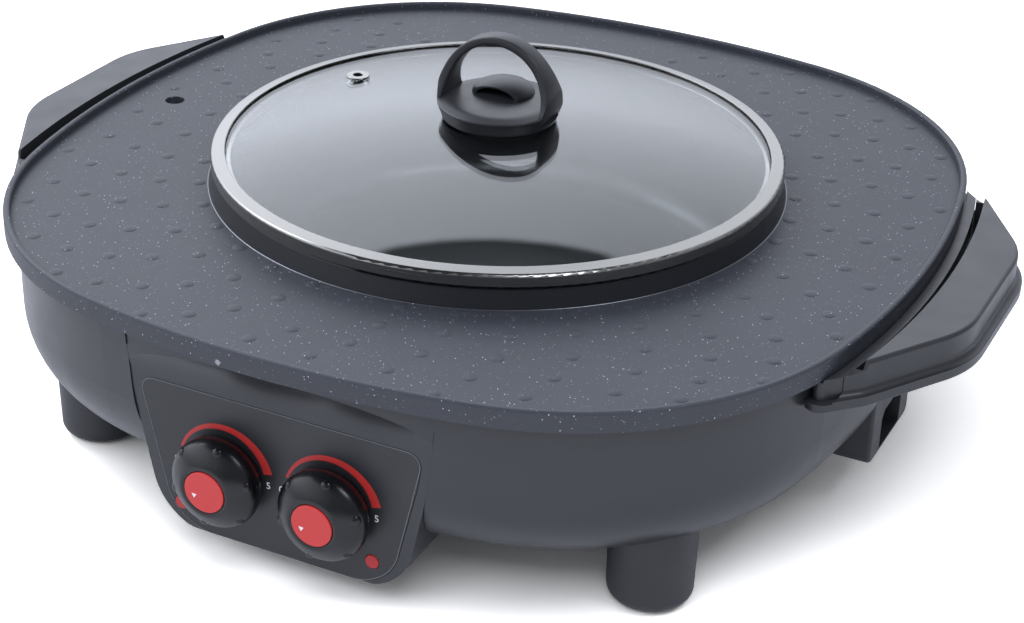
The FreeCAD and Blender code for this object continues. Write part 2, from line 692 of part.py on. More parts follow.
def base_bowl():
    """Deep moulded bowl: outer band, rounded bottom, pan ledge and screw bosses."""
    band = slab(BOWL_INSET - BOWL_BAND_STEP, BOWL_TOP_Z - BOWL_BAND_HEIGHT, BOWL_TOP_Z)
    hollow = bowl_solid(
        BOWL_INSET + BOWL_WALL, BOWL_BOTTOM_Z + BOWL_WALL, BOWL_TOP_Z + 1,
        BOWL_BOTTOM_ROUND - BOWL_WALL)
    shell = bowl_outside().fuse(band).cut(hollow)
    ledge = slab(BOWL_INSET + BOWL_WALL / 2, LEDGE_Z - LEDGE_THICKNESS, LEDGE_Z)
    ledge = ledge.cut(slab(BOWL_INSET + BOWL_WALL + LEDGE_WIDTH, LEDGE_Z - 10, LEDGE_Z + 10))
    opening = Part.makeCylinder(COVER_OPENING_RADIUS, 20, V(0, 0, BOWL_BOTTOM_Z - 10))
    bosses = []
    holes = []
    for x, y in foot_places().values():
        bosses.append(rod(BOSS_RADIUS, V(x, y, BOWL_BOTTOM_Z + 1), V(x, y, BOWL_BOTTOM_Z + 17)))
        holes.append(rod(SCREW_RADIUS, V(x, y, 0), V(x, y, BOWL_BOTTOM_Z + 15)))
    for place in cover_screw_places():
        low = place + V(0, 0, BOWL_BOTTOM_Z)
        holes.append(rod(SCREW_RADIUS, low - V(0, 0, 5), low + V(0, 0, 5)))
    bowl = fused([shell, ledge] + bosses).cut(opening)
    front = prism(housing_outline(FIT_GAP), on_front(-PAN_HALF), V(0, PAN_HALF + HOUSING_BACK_Y + FIT_GAP, 0))
    right = prism(
        bracket_outline(FIT_GAP), on_side(BRACKET_INNER_X - FIT_GAP), V(BRACKET_DEPTH + BRACKET_INSET, 0, 0))
    half_w = INLET_WIDTH / 2 + INLET_WALL + FIT_GAP
    half_h = INLET_HEIGHT / 2 + INLET_WALL + FIT_GAP
    rear = block(
        (-half_w, inlet_flange_y() - 2 * INLET_DEPTH, INLET_Z - half_h),
        (half_w, PAN_HALF, INLET_Z + half_h))
    for way in (-1, 1):
        x = way * inlet_screw_x()
        holes.append(rod(SCREW_RADIUS, V(x, inlet_flange_y() - INLET_DEPTH, INLET_Z), V(x, PAN_HALF, INLET_Z)))
    cutters = [front, right, mirrored(right), rear] + holes
    for cutter in cutters:
        bowl = bowl.cut(cutter)
    return bowl


def pan_rest_pads():
    """Eight heat-proof pads on the bowl's ledge, on which the pan sits."""
    pads = []
    for x, y in pad_places():
        pads.append(rod(PAD_RADIUS, V(x, y, LEDGE_Z), V(x, y, PLATE_UNDER_Z)))
    return group(pads)


def bottom_cover():
    """Pressed steel cover over the service opening, with a ring of cooling slots."""
    top = BOWL_BOTTOM_Z
    cover = Part.makeCylinder(COVER_RADIUS, COVER_THICKNESS, V(0, 0, top - COVER_THICKNESS))
    for index in range(COVER_SLOTS):
        angle = 360.0 * index / COVER_SLOTS
        half = COVER_SLOT_WIDTH / 2
        inner = COVER_OPENING_RADIUS * 0.55
        slot = block((inner, -half, top - 5), (inner + COVER_SLOT_LENGTH, half, top + 5))
        slot = slot.makeFillet(half * 0.98, [e for e in slot.Edges if e.BoundBox.ZLength > 5])
        cover = cover.cut(slot.rotated(V(0, 0, 0), V(0, 0, 1), angle))
    for place in cover_screw_places():
        low = place + V(0, 0, top - 5)
        cover = cover.cut(rod(SCREW_RADIUS + SCREW_HOLE_GAP, low, low + V(0, 0, 10)))
    return cover


def bottom_cover_screws():
    seat = BOWL_BOTTOM_Z - COVER_THICKNESS
    return group([screw(p + V(0, 0, seat + 5), p + V(0, 0, seat)) for p in cover_screw_places()])


def foot(x, y):
    """Tall round foot, saddled to the bowl's round bottom and bored for its screw."""
    tip = FOOT_STAND
    top = BOWL_BOTTOM_Z + BOWL_BOTTOM_ROUND
    column = turned([
        (0, tip, 0),
        (FOOT_TIP_RADIUS, tip, FOOT_TIP_ROUND),
        (FOOT_RADIUS, top, 0),
        (0, top, 0),
    ]).translated(V(x, y, 0))
    column = column.cut(bowl_outside())
    pad_pocket = FOOT_PAD_THICKNESS - FOOT_STAND
    pocket = Part.makeCylinder(FOOT_PAD_RADIUS + FIT_GAP, pad_pocket + 1, V(x, y, tip - 1))
    bore_top = BOWL_BOTTOM_Z - FOOT_WEB
    bore = Part.makeCylinder(FOOT_SCREW_BORE, bore_top, V(x, y, 0))
    shank = Part.makeCylinder(SCREW_RADIUS + SCREW_HOLE_GAP, 60, V(x, y, 0))
    return column.cut(pocket).cut(bore).cut(shank)


def foot_pads():
    """Rubber pads let into the feet; the cooker stands on them."""
    pads = []
    for x, y in foot_places().values():
        pad = Part.makeCylinder(FOOT_PAD_RADIUS, FOOT_PAD_THICKNESS, V(x, y, 0))
        pad = pad.makeFillet(0.6, [edge for edge in pad.Edges if edge.BoundBox.ZMax < 0.01])
        pads.append(pad)
    return group(pads)


def foot_screws():
    seat = BOWL_BOTTOM_Z - FOOT_WEB
    return group([screw(V(x, y, seat + 16), V(x, y, seat)) for x, y in foot_places().values()])


# Control housing and fascia

def knob_places():
    return {"left": -KNOB_SPACING / 2, "right": KNOB_SPACING / 2}


def control_housing():
    """Flat-faced bump under the pan's front rim, hollow and open into the bowl."""
    deep = prism(housing_outline(0), on_front(-PAN_HALF), V(0, 3 * HOUSING_DEPTH, 0))
    reach = HOUSING_HALF_WIDTH + 10
    behind_face = prism([
        (FACE_Y, HOUSING_BOTTOM_Z, 3),
        (HOUSING_BACK_Y, HOUSING_BOTTOM_Z, 3),
        (HOUSING_BACK_Y, BOWL_BOTTOM_Z + 2, 0),
        (HOUSING_BACK_Y - 14, BOWL_BOTTOM_Z + 9, 0),
        (HOUSING_BACK_Y - 20, BOWL_BOTTOM_Z + 18, 0),
        (HOUSING_BACK_Y - 20, BOWL_TOP_Z, 0),
        (FACE_Y, BOWL_TOP_Z, 0),
    ], on_side(-reach), V(2 * reach, 0, 0))
    brow = block((-reach, -PAN_HALF, HOUSING_BROW_Z), (reach, FACE_Y + 1, BOWL_TOP_Z))
    cove = V(reach + 1, FACE_Y - HOUSING_BROW_ROUND, HOUSING_BROW_Z)
    brow = brow.cut(rod(HOUSING_BROW_ROUND, V(-cove.x, cove.y, cove.z), cove)).common(bowl_outside())
    body = behind_face.fuse(brow).common(deep)
    hollow = prism(
        housing_outline(-HOUSING_WALL), on_front(FACE_Y + HOUSING_WALL), V(0, 2 * HOUSING_DEPTH, 0))
    back_wall = block(
        (-reach, HOUSING_BACK_Y - HOUSING_WALL, HOUSING_BOTTOM_Z), (reach, HOUSING_BACK_Y, BOWL_BOTTOM_Z + 2))
    body = body.cut(hollow.cut(back_wall))
    recess = fascia_solid(FIT_GAP, FACE_Y - 1, FASCIA_THICKNESS - FASCIA_PROUD + 1)
    body = body.cut(recess)
    for x in knob_places().values():
        body = body.cut(rod(BUSHING_RADIUS + FIT_GAP, V(x, FACE_Y - 5, KNOB_AXIS_Z), V(x, FACE_Y + 5, KNOB_AXIS_Z)))
    for x in (LAMP_LEFT_X, LAMP_RIGHT_X):
        body = body.cut(rod(LENS_RADIUS + FIT_GAP, V(x, FACE_Y - 5, LAMP_Z), V(x, FACE_Y + 5, LAMP_Z)))
    return body


def fascia_solid(grow, y, depth):
    """A plate of the fascia's outline: a trapezium with larger radii at the bottom."""
    half = FASCIA_HALF_WIDTH + grow
    shoulder = FASCIA_SHOULDER_HALF_WIDTH + grow
    foot = FASCIA_FOOT_HALF_WIDTH + grow
    high = FASCIA_TOP_Z + grow
    low = FASCIA_BOTTOM_Z - grow
    return prism([
        (-half, high, FASCIA_TOP_CORNER + grow),
        (-shoulder, FASCIA_SHOULDER_Z, HOUSING_SIDE_ROUND),
        (-foot, low, FASCIA_BOTTOM_CORNER + grow),
        (foot, low, FASCIA_BOTTOM_CORNER + grow),
        (shoulder, FASCIA_SHOULDER_Z, HOUSING_SIDE_ROUND),
        (half, high, FASCIA_TOP_CORNER + grow),
    ], on_front(y), V(0, depth, 0))


def fascia_panel():
    """Printed plate in the housing's face, holed for the shafts and the lamps."""
    plate = fascia_solid(0, FACE_Y - FASCIA_PROUD, FASCIA_THICKNESS)
    for x in knob_places().values():
        centre = V(x, FACE_Y - 5, KNOB_AXIS_Z)
        plate = plate.cut(rod(BUSHING_RADIUS + FIT_GAP, centre, centre + V(0, 10, 0)))
    for x in (LAMP_LEFT_X, LAMP_RIGHT_X):
        centre = V(x, FACE_Y - 5, LAMP_Z)
        plate = plate.cut(rod(LENS_RADIUS + FIT_GAP, centre, centre + V(0, 10, 0)))
    return plate


def along_front(shape, x, y, z):
    """Lays a shape made about +Z down so that its +Z points towards the cook."""
    return shape.rotated(V(0, 0, 0), V(1, 0, 0), 90).translated(V(x, y, z))


def indicator_lens(x):
    """Red lens through the fascia, with a flange behind the wall."""
    inside = HOUSING_WALL
    lens = turned([
        (0, -inside - LENS_FLANGE, 0),
        (LENS_FLANGE_RADIUS, -inside - LENS_FLANGE, 0),
        (LENS_FLANGE_RADIUS, -inside, 0),
        (LENS_RADIUS, -inside, 0),
        (LENS_RADIUS, FASCIA_PROUD + LENS_PROUD, 0.4),
        (0, FASCIA_PROUD + LENS_PROUD, 0),
    ])
    return along_front(lens, x, FACE_Y, LAMP_Z)


def indicator_lamps():
    """Neon lamps in their sleeves behind the two lenses."""
    lamps = []
    for x in (LAMP_LEFT_X, LAMP_RIGHT_X):
        front = V(x, FACE_Y + HOUSING_WALL + LENS_FLANGE, LAMP_Z)
        lamps.append(rod(LAMP_RADIUS, front, front + V(0, LAMP_LENGTH, 0)))
    return group(lamps)


# Control knobs

def thermostat(x):
    """Bimetal thermostat behind the housing wall, with the bush that holds the shaft."""
    bore = SHAFT_RADIUS + SHAFT_RUNNING_GAP
    front = -HOUSING_WALL - FIT_GAP
    case = turned([
        (bore, front - THERMOSTAT_LENGTH, 0),
        (THERMOSTAT_RADIUS, front - THERMOSTAT_LENGTH, 1),
        (THERMOSTAT_RADIUS, front, 1),
        (BUSHING_RADIUS, front, 0),
        (BUSHING_RADIUS, FASCIA_PROUD + 0.2, 0.3),
        (bore, FASCIA_PROUD + 0.2, 0),
    ])
    body = along_front(case, x, FACE_Y, KNOB_AXIS_Z)
    back = FACE_Y - front + THERMOSTAT_LENGTH
    blades = []
    for way in (-1, 1):
        centre = x + way * THERMOSTAT_RADIUS * 0.55
        blades.append(block((centre - 3, back - 1, KNOB_AXIS_Z - 0.4), (centre + 3, back + 8, KNOB_AXIS_Z + 0.4)))
    return fused([body] + blades)


def knob_seat_y():
    """The plane on which the back of a control knob lies."""
    return FACE_Y - FASCIA_PROUD - KNOB_FACE_GAP


def control_shaft(x):
    """Steel shaft, round in its bush and flatted where the knob grips it."""
    back = FACE_Y + HOUSING_WALL + THERMOSTAT_LENGTH
    front = knob_seat_y() - SHAFT_SEAT_DEPTH
    shaft = rod(SHAFT_RADIUS, V(x, back, KNOB_AXIS_Z), V(x, front, KNOB_AXIS_Z))
    flat = block(
        (x - 5, front - 1, KNOB_AXIS_Z + SHAFT_RADIUS * 0.55),
        (x + 5, knob_seat_y() - 1, KNOB_AXIS_Z + SHAFT_RADIUS + 1))
    return shaft.cut(flat)


def control_knob(x):
    """Domed knob with a ring of nubs, a flat face with a cap recess and a flatted bore."""
    dome = turned([
        (0, 0, 0),
        (KNOB_RADIUS - KNOB_FOOT_TUCK, 0, 0.8),
        (KNOB_RADIUS, KNOB_SHOULDER, 9),
        (KNOB_FACE_RADIUS, KNOB_LENGTH, 0.6),
        (0, KNOB_LENGTH, 0),
    ])
    slope = math.atan2(KNOB_RADIUS - KNOB_FACE_RADIUS, KNOB_LENGTH - KNOB_SHOULDER)
    sink = KNOB_NUB_RADIUS - KNOB_NUB_PROUD
    flank_radius = KNOB_RADIUS - (KNOB_NUB_DEPTH - KNOB_SHOULDER) * math.tan(slope)
    nubs = []
    for index in range(KNOB_NUBS):
        angle = math.radians(KNOB_NUB_ANGLE + index * 360.0 / KNOB_NUBS)
        centre = polar(
            flank_radius - sink * math.cos(slope), angle, KNOB_NUB_DEPTH - sink * math.sin(slope))
        nubs.append(Part.makeSphere(KNOB_NUB_RADIUS, centre))
    recess = Part.makeCylinder(
        CAP_RADIUS + FIT_GAP / 2, 10, V(0, 0, KNOB_LENGTH + CAP_PROUD - CAP_THICKNESS))
    body = along_front(fused([dome] + nubs).cut(recess), x, knob_seat_y(), KNOB_AXIS_Z)
    gap = SHAFT_FIT_GAP
    bore = rod(SHAFT_RADIUS + gap, V(x, knob_seat_y() + 1, KNOB_AXIS_Z),
               V(x, knob_seat_y() - SHAFT_SEAT_DEPTH - gap, KNOB_AXIS_Z))
    key = block(
        (x - 5, knob_seat_y() - SHAFT_SEAT_DEPTH - 1, KNOB_AXIS_Z + SHAFT_RADIUS * 0.55 + gap),
        (x + 5, knob_seat_y() - 1 - gap, KNOB_AXIS_Z + SHAFT_RADIUS + 1))
    return body.cut(bore.cut(key))


def knob_cap(x):
    """Red cap in the knob's face."""
    front = knob_seat_y() - KNOB_LENGTH - CAP_PROUD
    cap = rod(CAP_RADIUS, V(x, front + CAP_THICKNESS, KNOB_AXIS_Z), V(x, front, KNOB_AXIS_Z))
    return cap.makeFillet(0.4, [edge for edge in cap.Edges if edge.BoundBox.YMax < front + 0.01])


# Handles

def handle_plan(grow, z_low, z_high):
    """Outer plan of the right handle grown outwards: a flat front, two hips and two ends."""
    flat_x = PAN_HALF + HANDLE_REACH
    hip_x = PAN_HALF + HANDLE_HIP_REACH
    end_x = PAN_HALF - HANDLE_END_INSET
    wire = polygon([
        (end_x, -HANDLE_END_Y, HANDLE_END_ROUND),
        (hip_x, -HANDLE_HIP_Y, HANDLE_HIP_ROUND),
        (flat_x, -HANDLE_FLAT_Y, HANDLE_FLAT_ROUND),
        (flat_x, HANDLE_FLAT_Y, HANDLE_FLAT_ROUND),
        (hip_x, HANDLE_HIP_Y, HANDLE_HIP_ROUND),
        (end_x, HANDLE_END_Y, HANDLE_END_ROUND),
    ], on_plan(z_low))
    if grow:
        wire = wire.makeOffset2D(grow)
    return Part.Face(wire).extrude(V(0, 0, z_high - z_low))


def handle_tip_cut():
    """What the stepped-down ends of the handle's top leave out, seen from the side."""
    low = HANDLE_TOP_Z - HANDLE_TIP_DROP
    far = HANDLE_END_Y + 20
    cut = prism([
        (HANDLE_TIP_Y, HANDLE_TOP_Z, 0.4),
        (HANDLE_TIP_Y + HANDLE_TIP_SLOPE, low, 0.6),
        (HANDLE_SHELF_Y, HANDLE_SHELF_Z, 6),
        (far, HANDLE_SHELF_Z, 0),
        (far, HANDLE_TOP_Z + 20, 0),
        (HANDLE_TIP_Y - 10, HANDLE_TOP_Z + 20, 0),
        (HANDLE_TIP_Y - 10, HANDLE_TOP_Z, 0),
    ], on_side(PAN_HALF / 2), V(PAN_HALF, 0, 0))
    return cut.fuse(cut.mirror(V(0, 0, 0), V(0, 1, 0)))


def handle_zone(half, z_low):
    """A block round the right handle, as long as twice half."""
    return block((PAN_HALF / 2, -half, z_low), (PAN_HALF * 1.5, half, 2 * RIM_TOP_Z))


def level_edges(shape, z):
    """The edges of a shape that lie flat at one height."""
    return [edge for edge in shape.Edges if abs(edge.BoundBox.ZMin - z) < 0.01 and edge.BoundBox.ZLength < 0.01]


def handle_top():
    """Top cover of the right handle: a hollow pad whose side flares out at its foot."""
    rail_edge = -(HANDLE_GAP + HANDLE_RAIL + FIT_GAP)
    pad_edge = -(HANDLE_GAP + HANDLE_RAIL + HANDLE_GROOVE)
    skirt_top = HANDLE_PARTING_Z + FLANGE_UPPER_HEIGHT
    pad = handle_plan(0, HANDLE_PARTING_Z, HANDLE_TOP_Z)
    pad = pad.makeFillet(HANDLE_EDGE_ROUND, level_edges(pad, HANDLE_TOP_Z))
    skirt = handle_plan(FLANGE_REACH, HANDLE_PARTING_Z, skirt_top)
    body = pad.fuse(skirt).removeSplitter()
    inner_corner = [edge for edge in level_edges(body, skirt_top) if edge.distToShape(pad)[0] < 0.01]
    body = body.makeFillet(FLANGE_ROUND, inner_corner)
    body = body.cut(handle_tip_cut())
    body = body.cut(slab(rail_edge, HANDLE_PARTING_Z - 1, HANDLE_TOP_Z + 5))
    groove = slab(pad_edge, HANDLE_PARTING_Z - 1, HANDLE_TOP_Z + 5).common(
        handle_zone(HANDLE_GROOVE_END_Y, HANDLE_PARTING_Z - 2))
    body = body.cut(groove)
    hollow = handle_plan(-HANDLE_WALL, HANDLE_PARTING_Z - 1, HANDLE_TOP_Z - HANDLE_TOP_WALL)
    hollow = hollow.cut(slab(pad_edge - HANDLE_WALL, HANDLE_PARTING_Z - 2, HANDLE_TOP_Z + 5))
    body = body.cut(hollow.common(handle_zone(HANDLE_TIP_Y - 12, HANDLE_PARTING_Z - 2)))
    for y in (-HANDLE_SCREW_Y, HANDLE_SCREW_Y):
        x = handle_screw_x()
        boss = rod(BOSS_RADIUS - 0.8, V(x, y, HANDLE_PARTING_Z), V(x, y, HANDLE_TOP_Z - 1))
        hole = rod(SCREW_RADIUS, V(x, y, HANDLE_PARTING_Z - 1), V(x, y, HANDLE_PARTING_Z + 9))
        body = body.fuse(boss).cut(hole)
    return body.removeSplitter()


def handle_screw_x():
    return PAN_HALF + (HANDLE_GAP + HANDLE_RAIL + HANDLE_GROOVE + HANDLE_REACH) / 2


def handle_lower():
    """Lower moulding of the right handle: flange, upstanding shelf and a root on the bowl."""
    low = HANDLE_PARTING_Z - FLANGE_LOWER_HEIGHT
    flange = handle_plan(FLANGE_REACH, low, HANDLE_PARTING_Z)
    flange = flange.makeFillet(1.0, level_edges(flange, low))
    shelf = slab(-HANDLE_GAP - HANDLE_RAIL, HANDLE_PARTING_Z - 1, HANDLE_SHELF_Z)
    shelf = shelf.cut(slab(-HANDLE_GAP, BOWL_TOP_Z - BOWL_TOP_GAP, HANDLE_SHELF_Z + 1))
    shelf = shelf.common(handle_plan(0, low, HANDLE_SHELF_Z))
    body = fused([flange, shelf])
    body = body.cut(slab(BOWL_INSET - BOWL_BAND_STEP - FIT_GAP, low - 1, HANDLE_SHELF_Z + 1))
    for y in (-HANDLE_SCREW_Y, HANDLE_SCREW_Y):
        x = handle_screw_x()
        body = body.cut(rod(SCREW_RADIUS + SCREW_HOLE_GAP, V(x, y, low - 1), V(x, y, HANDLE_PARTING_Z + 1)))
    return body


def handle_screws():
    low = HANDLE_PARTING_Z - FLANGE_LOWER_HEIGHT
    screws = []
    for x in (-handle_screw_x(), handle_screw_x()):
        for y in (-HANDLE_SCREW_Y, HANDLE_SCREW_Y):
            screws.append(screw(V(x, y, HANDLE_PARTING_Z + 8), V(x, y, low)))
    return group(screws)


# Drip cup and its brackets

def bay_prism(grow, start_x, end_x):
    """The cup's bay in the right bracket, grown all round, between two places along X."""
    half = BAY_HALF_WIDTH + grow
    low = BAY_FLOOR_Z - grow
    high = BAY_ROOF_Z + grow
    return prism([
        (-half, low, 1), (half, low, 1),
        (half, high - BAY_CHAMFER, 0), (half - BAY_CHAMFER, high, 0),
        (-half + BAY_CHAMFER, high, 0), (-half, high - BAY_CHAMFER, 0),
    ], on_side(start_x), V(end_x - start_x, 0, 0))


def drip_cup_bracket():
    """Right bracket: a box hollow from behind, with the cup's bay in front and the drain chute."""
    chute_x = abs(DRAIN_X)
    box = prism(bracket_outline(0), on_side(BRACKET_INNER_X), V(BRACKET_DEPTH, 0, 0))
    rounded = [edge for edge in box.Edges if edge.BoundBox.XMin > BRACKET_OUTER_X - 0.01]
    box = box.makeFillet(BRACKET_EDGE_ROUND, rounded)
    back = prism(
        bracket_outline(-BRACKET_WALL), on_side(BRACKET_INNER_X - 1), V(1 + BRACKET_DEPTH - BRACKET_WALL, 0, 0))
    walls = bay_prism(BAY_FLOOR, BRACKET_INNER_X, BRACKET_OUTER_X - 1)
    chute = rod(
        CHUTE_BORE_RADIUS + CHUTE_WALL, V(chute_x, 0, BAY_ROOF_Z + 1), V(chute_x, 0, PLATE_UNDER_Z - 2.4))
    bore = rod(CHUTE_BORE_RADIUS, V(chute_x, 0, BAY_ROOF_Z - 1), V(chute_x, 0, PLATE_UNDER_Z + 5))
    body = fused([box.cut(back), walls, chute])
    return body.cut(bay_prism(0, BAY_BACK_X, BRACKET_OUTER_X + 1)).cut(bore)


def drip_cup():
    """Grease cup in the left bracket: an open-topped tray with a finger lip in front."""
    back_x = BAY_BACK_X + CUP_BACK_GAP
    front_x = BRACKET_OUTER_X - 1.0
    floor_z = BAY_FLOOR_Z + CUP_SIDE_GAP / 4
    rim_z = BAY_ROOF_Z - BAY_CHAMFER - CUP_RIM_GAP
    half = BAY_HALF_WIDTH - CUP_SIDE_GAP
    tray = block((back_x, -half, floor_z), (front_x, half, rim_z))
    tray = tray.makeFillet(1.5, [edge for edge in tray.Edges if edge.BoundBox.ZMax < floor_z + 0.01])
    pocket = block(
        (back_x + CUP_WALL, -half + CUP_WALL, floor_z + CUP_WALL), (front_x - CUP_WALL, half - CUP_WALL, rim_z + 5))
    pocket = pocket.makeFillet(2.0, [edge for edge in pocket.Edges if edge.BoundBox.ZMax < rim_z])
    lip = block((front_x - 0.5, -half * 0.6, rim_z - 2.6), (front_x + CUP_LIP, half * 0.6, rim_z))
    lip = lip.makeFillet(1.1, [edge for edge in lip.Edges if edge.BoundBox.XMin > front_x + 1])
    return mirrored(fused([tray.cut(pocket), lip]))


# Heating

def heat_shield():
    """Pressed reflector: a dish under the well and a flange that carries the griddle element."""
    sheet = SHIELD_SHEET
    dish = turned([
        (0, SHIELD_FLOOR_Z, 0),
        (SHIELD_FLOOR_RADIUS, SHIELD_FLOOR_Z, 10),
        (SHIELD_MOUTH_RADIUS, SHIELD_FLANGE_Z, 0),
        (SHIELD_MOUTH_RADIUS + 4, SHIELD_FLANGE_Z, 0),
        (SHIELD_MOUTH_RADIUS + 4, SHIELD_FLANGE_Z + sheet, 0),
        (SHIELD_MOUTH_RADIUS - sheet, SHIELD_FLANGE_Z + sheet, 0),
        (SHIELD_FLOOR_RADIUS - sheet, SHIELD_FLOOR_Z + sheet, 10),
        (0, SHIELD_FLOOR_Z + sheet, 0),
    ])
    flange = slab(SHIELD_FLANGE_INSET, SHIELD_FLANGE_Z, SHIELD_FLANGE_Z + sheet)
    flange = flange.cut(Part.makeCylinder(SHIELD_MOUTH_RADIUS + 2, 10, V(0, 0, SHIELD_FLANGE_Z - 5)))
    shield = fused([dish, flange])
    hole = ELEMENT_RADIUS + LEAD_HOLE_GAP
    for x in (-POT_LEAD_X, POT_LEAD_X):
        inside = V(x, -SHIELD_BOSS_RADIUS, POT_ELEMENT_Z)
        shield = shield.cut(rod(hole, inside, inside - V(0, POT_LEAD_LENGTH, 0)))
    for x, y, along in grill_leads():
        end = V(x, y, 0) + along * GRILL_LEAD_BEND
        shield = shield.cut(rod(hole, V(end.x, end.y, SHIELD_FLANGE_Z - 5), V(end.x, end.y, SHIELD_FLANGE_Z + 5)))
    for place in shield_screw_places():
        low = place + V(0, 0, SHIELD_FLOOR_Z - 5)
        shield = shield.cut(rod(SCREW_RADIUS + SCREW_HOLE_GAP, low, low + V(0, 0, 10)))
    return shield


def shield_posts():
    """Four spacers that carry the reflector on the bottom cover."""
    posts = []
    for place in shield_screw_places():
        low = place + V(0, 0, BOWL_BOTTOM_Z)
        high = place + V(0, 0, SHIELD_FLOOR_Z)
        post = rod(BOSS_RADIUS, low, high).cut(rod(SCREW_RADIUS, low - V(0, 0, 1), high + V(0, 0, 1)))
        posts.append(post)
    return group(posts)


def shield_screws():
    seat = SHIELD_FLOOR_Z + SHIELD_SHEET
    return group([screw(p + V(0, 0, seat - 5), p + V(0, 0, seat)) for p in shield_screw_places()])


def grill_leads():
    """Where the griddle element's two ends start to turn down, and which way they point."""
    side = PAN_SIDE_RADIUS - GRILL_ELEMENT_INSET
    centre_y = side - (PAN_HALF - GRILL_ELEMENT_INSET)
    leads = []
    for way in (-1, 1):
        angle = math.asin(GRILL_LEAD_X / side)
        x = way * GRILL_LEAD_X
        y = centre_y - side * math.cos(angle)
        along = V(-way * math.cos(angle), -math.sin(angle), 0)
        leads.append((x, y, along))
    return leads


def bent_down(start, along, bend, end_z):
    """Path edges that turn from the direction along to straight down."""
    low = start + along * bend - V(0, 0, bend)
    quarter = math.sqrt(0.5)
    middle = start + along * bend * quarter - V(0, 0, bend * (1 - quarter))
    return [Part.Arc(start, middle, low).toShape(), Part.makeLine(low, V(low.x, low.y, end_z))]


def tube(edges, radius):
    """A round bar along a path of tangent lines and arcs."""
    path = Part.Wire(Part.sortEdges(edges)[0])
    start = path.OrderedVertexes[0].Point
    first = path.OrderedEdges[0]
    near_start = first.valueAt(first.FirstParameter).distanceToPoint(start) < 1e-6
    along = first.tangentAt(first.FirstParameter if near_start else first.LastParameter)
    section = Part.Wire(Part.makeCircle(radius, start, along))
    return path.makePipeShell([section], True, False)


def grill_element():
    """Sheathed heater that follows the griddle's outline, with its two ends turned down."""
    loop = outline(GRILL_ELEMENT_INSET, GRILL_ELEMENT_Z)
    half_gap = GRILL_LEAD_X
    edges = []
    for edge in loop.Edges:
        middle = edge.valueAt((edge.FirstParameter + edge.LastParameter) / 2)
        if middle.y > -100 or abs(middle.x) > 1:
            edges.append(edge)
            continue
        ends = [edge.valueAt(edge.FirstParameter), edge.valueAt(edge.LastParameter)]
        for x, y, along in grill_leads():
            start = V(x, y, GRILL_ELEMENT_Z)
            outer = [point for point in ends if point.x * x > 0][0]
            side = PAN_SIDE_RADIUS - GRILL_ELEMENT_INSET
            centre = V(0, side - (PAN_HALF - GRILL_ELEMENT_INSET), GRILL_ELEMENT_Z)
            halfway = (start + outer) / 2 - centre
            halfway.normalize()
            edges.append(Part.Arc(start, centre + halfway * side, outer).toShape())
            edges += bent_down(start, along, GRILL_LEAD_BEND, SHIELD_FLANGE_Z - GRILL_LEAD_DROP)
    return tube(edges, ELEMENT_RADIUS)


def pot_element():
    """Sheathed ring heater under the well, with its two ends led out to the front."""
    z = POT_ELEMENT_Z
    bend = POT_LEAD_BEND
    ring = POT_ELEMENT_RADIUS
    centre_x = POT_LEAD_X + bend
    centre_y = -math.sqrt((ring + bend) ** 2 - centre_x ** 2)
    touch = V(centre_x, centre_y, 0) * (ring / (ring + bend)) + V(0, 0, z)
    edges = []
    start_angle = math.atan2(touch.y, touch.x)
    edges.append(arc(V(0, 0, z), ring, start_angle, math.pi - start_angle))
    for way in (-1, 1):
        centre = V(way * centre_x, centre_y, z)
        joint = V(way * touch.x, touch.y, z)
        out = V(way * POT_LEAD_X, centre_y, z)
        halfway = (joint + out) / 2 - centre
        halfway.normalize()
        edges.append(Part.Arc(joint, centre + halfway * bend, out).toShape())
        edges.append(Part.makeLine(out, out - V(0, POT_LEAD_LENGTH, 0)))
    return tube(edges, ELEMENT_RADIUS)


def pot_element_rests():
    """Three notched ceramic rests that carry the pot element above the reflector's floor."""
    floor_z = SHIELD_FLOOR_Z + SHIELD_SHEET
    half = POT_REST_THICKNESS / 2
    notch = rod(
        ELEMENT_RADIUS + FIT_GAP, V(POT_ELEMENT_RADIUS, -half - 1, POT_ELEMENT_Z),
        V(POT_ELEMENT_RADIUS, half + 1, POT_ELEMENT_Z))
    rest = block(
        (POT_ELEMENT_RADIUS - POT_REST_HALF_WIDTH, -half, floor_z),
        (POT_ELEMENT_RADIUS + POT_REST_HALF_WIDTH, half, POT_ELEMENT_Z)).cut(notch)
    return group([rest.rotated(V(0, 0, 0), V(0, 0, 1), 30 + 60 * place) for place in (0, 1, 2)])


def element_clamps():
    """Bent straps that hold the griddle element down on the reflector's flange."""
    inside = ELEMENT_RADIUS + FIT_GAP
    outside = inside + CLAMP_SHEET
    flange_z = SHIELD_FLANGE_Z + SHIELD_SHEET
    rise = GRILL_ELEMENT_Z
    centre = PAN_HALF - GRILL_ELEMENT_INSET
    strap = prism([
        (-outside, flange_z, 0), (outside, flange_z, 0), (outside, rise + outside, outside * 0.9),
        (-outside, rise + outside, outside * 0.9),
    ], on_front(-CLAMP_WIDTH / 2), V(0, CLAMP_WIDTH, 0))
    tab = block(
        (-outside - CLAMP_TAB, -CLAMP_WIDTH / 2, flange_z), (0, CLAMP_WIDTH / 2, flange_z + CLAMP_SHEET))
    room = block((-inside, -CLAMP_WIDTH, flange_z - 1), (inside, CLAMP_WIDTH, rise))
    tunnel = rod(inside, V(0, -CLAMP_WIDTH, rise), V(0, CLAMP_WIDTH, rise))
    clamp = fused([strap, tab]).cut(room).cut(tunnel).translated(V(centre, 0, 0))
    places = [0, 90, 180]
    return group([clamp.rotated(V(0, 0, 0), V(0, 0, 1), angle) for angle in places])


# Rear inlet and wiring parts

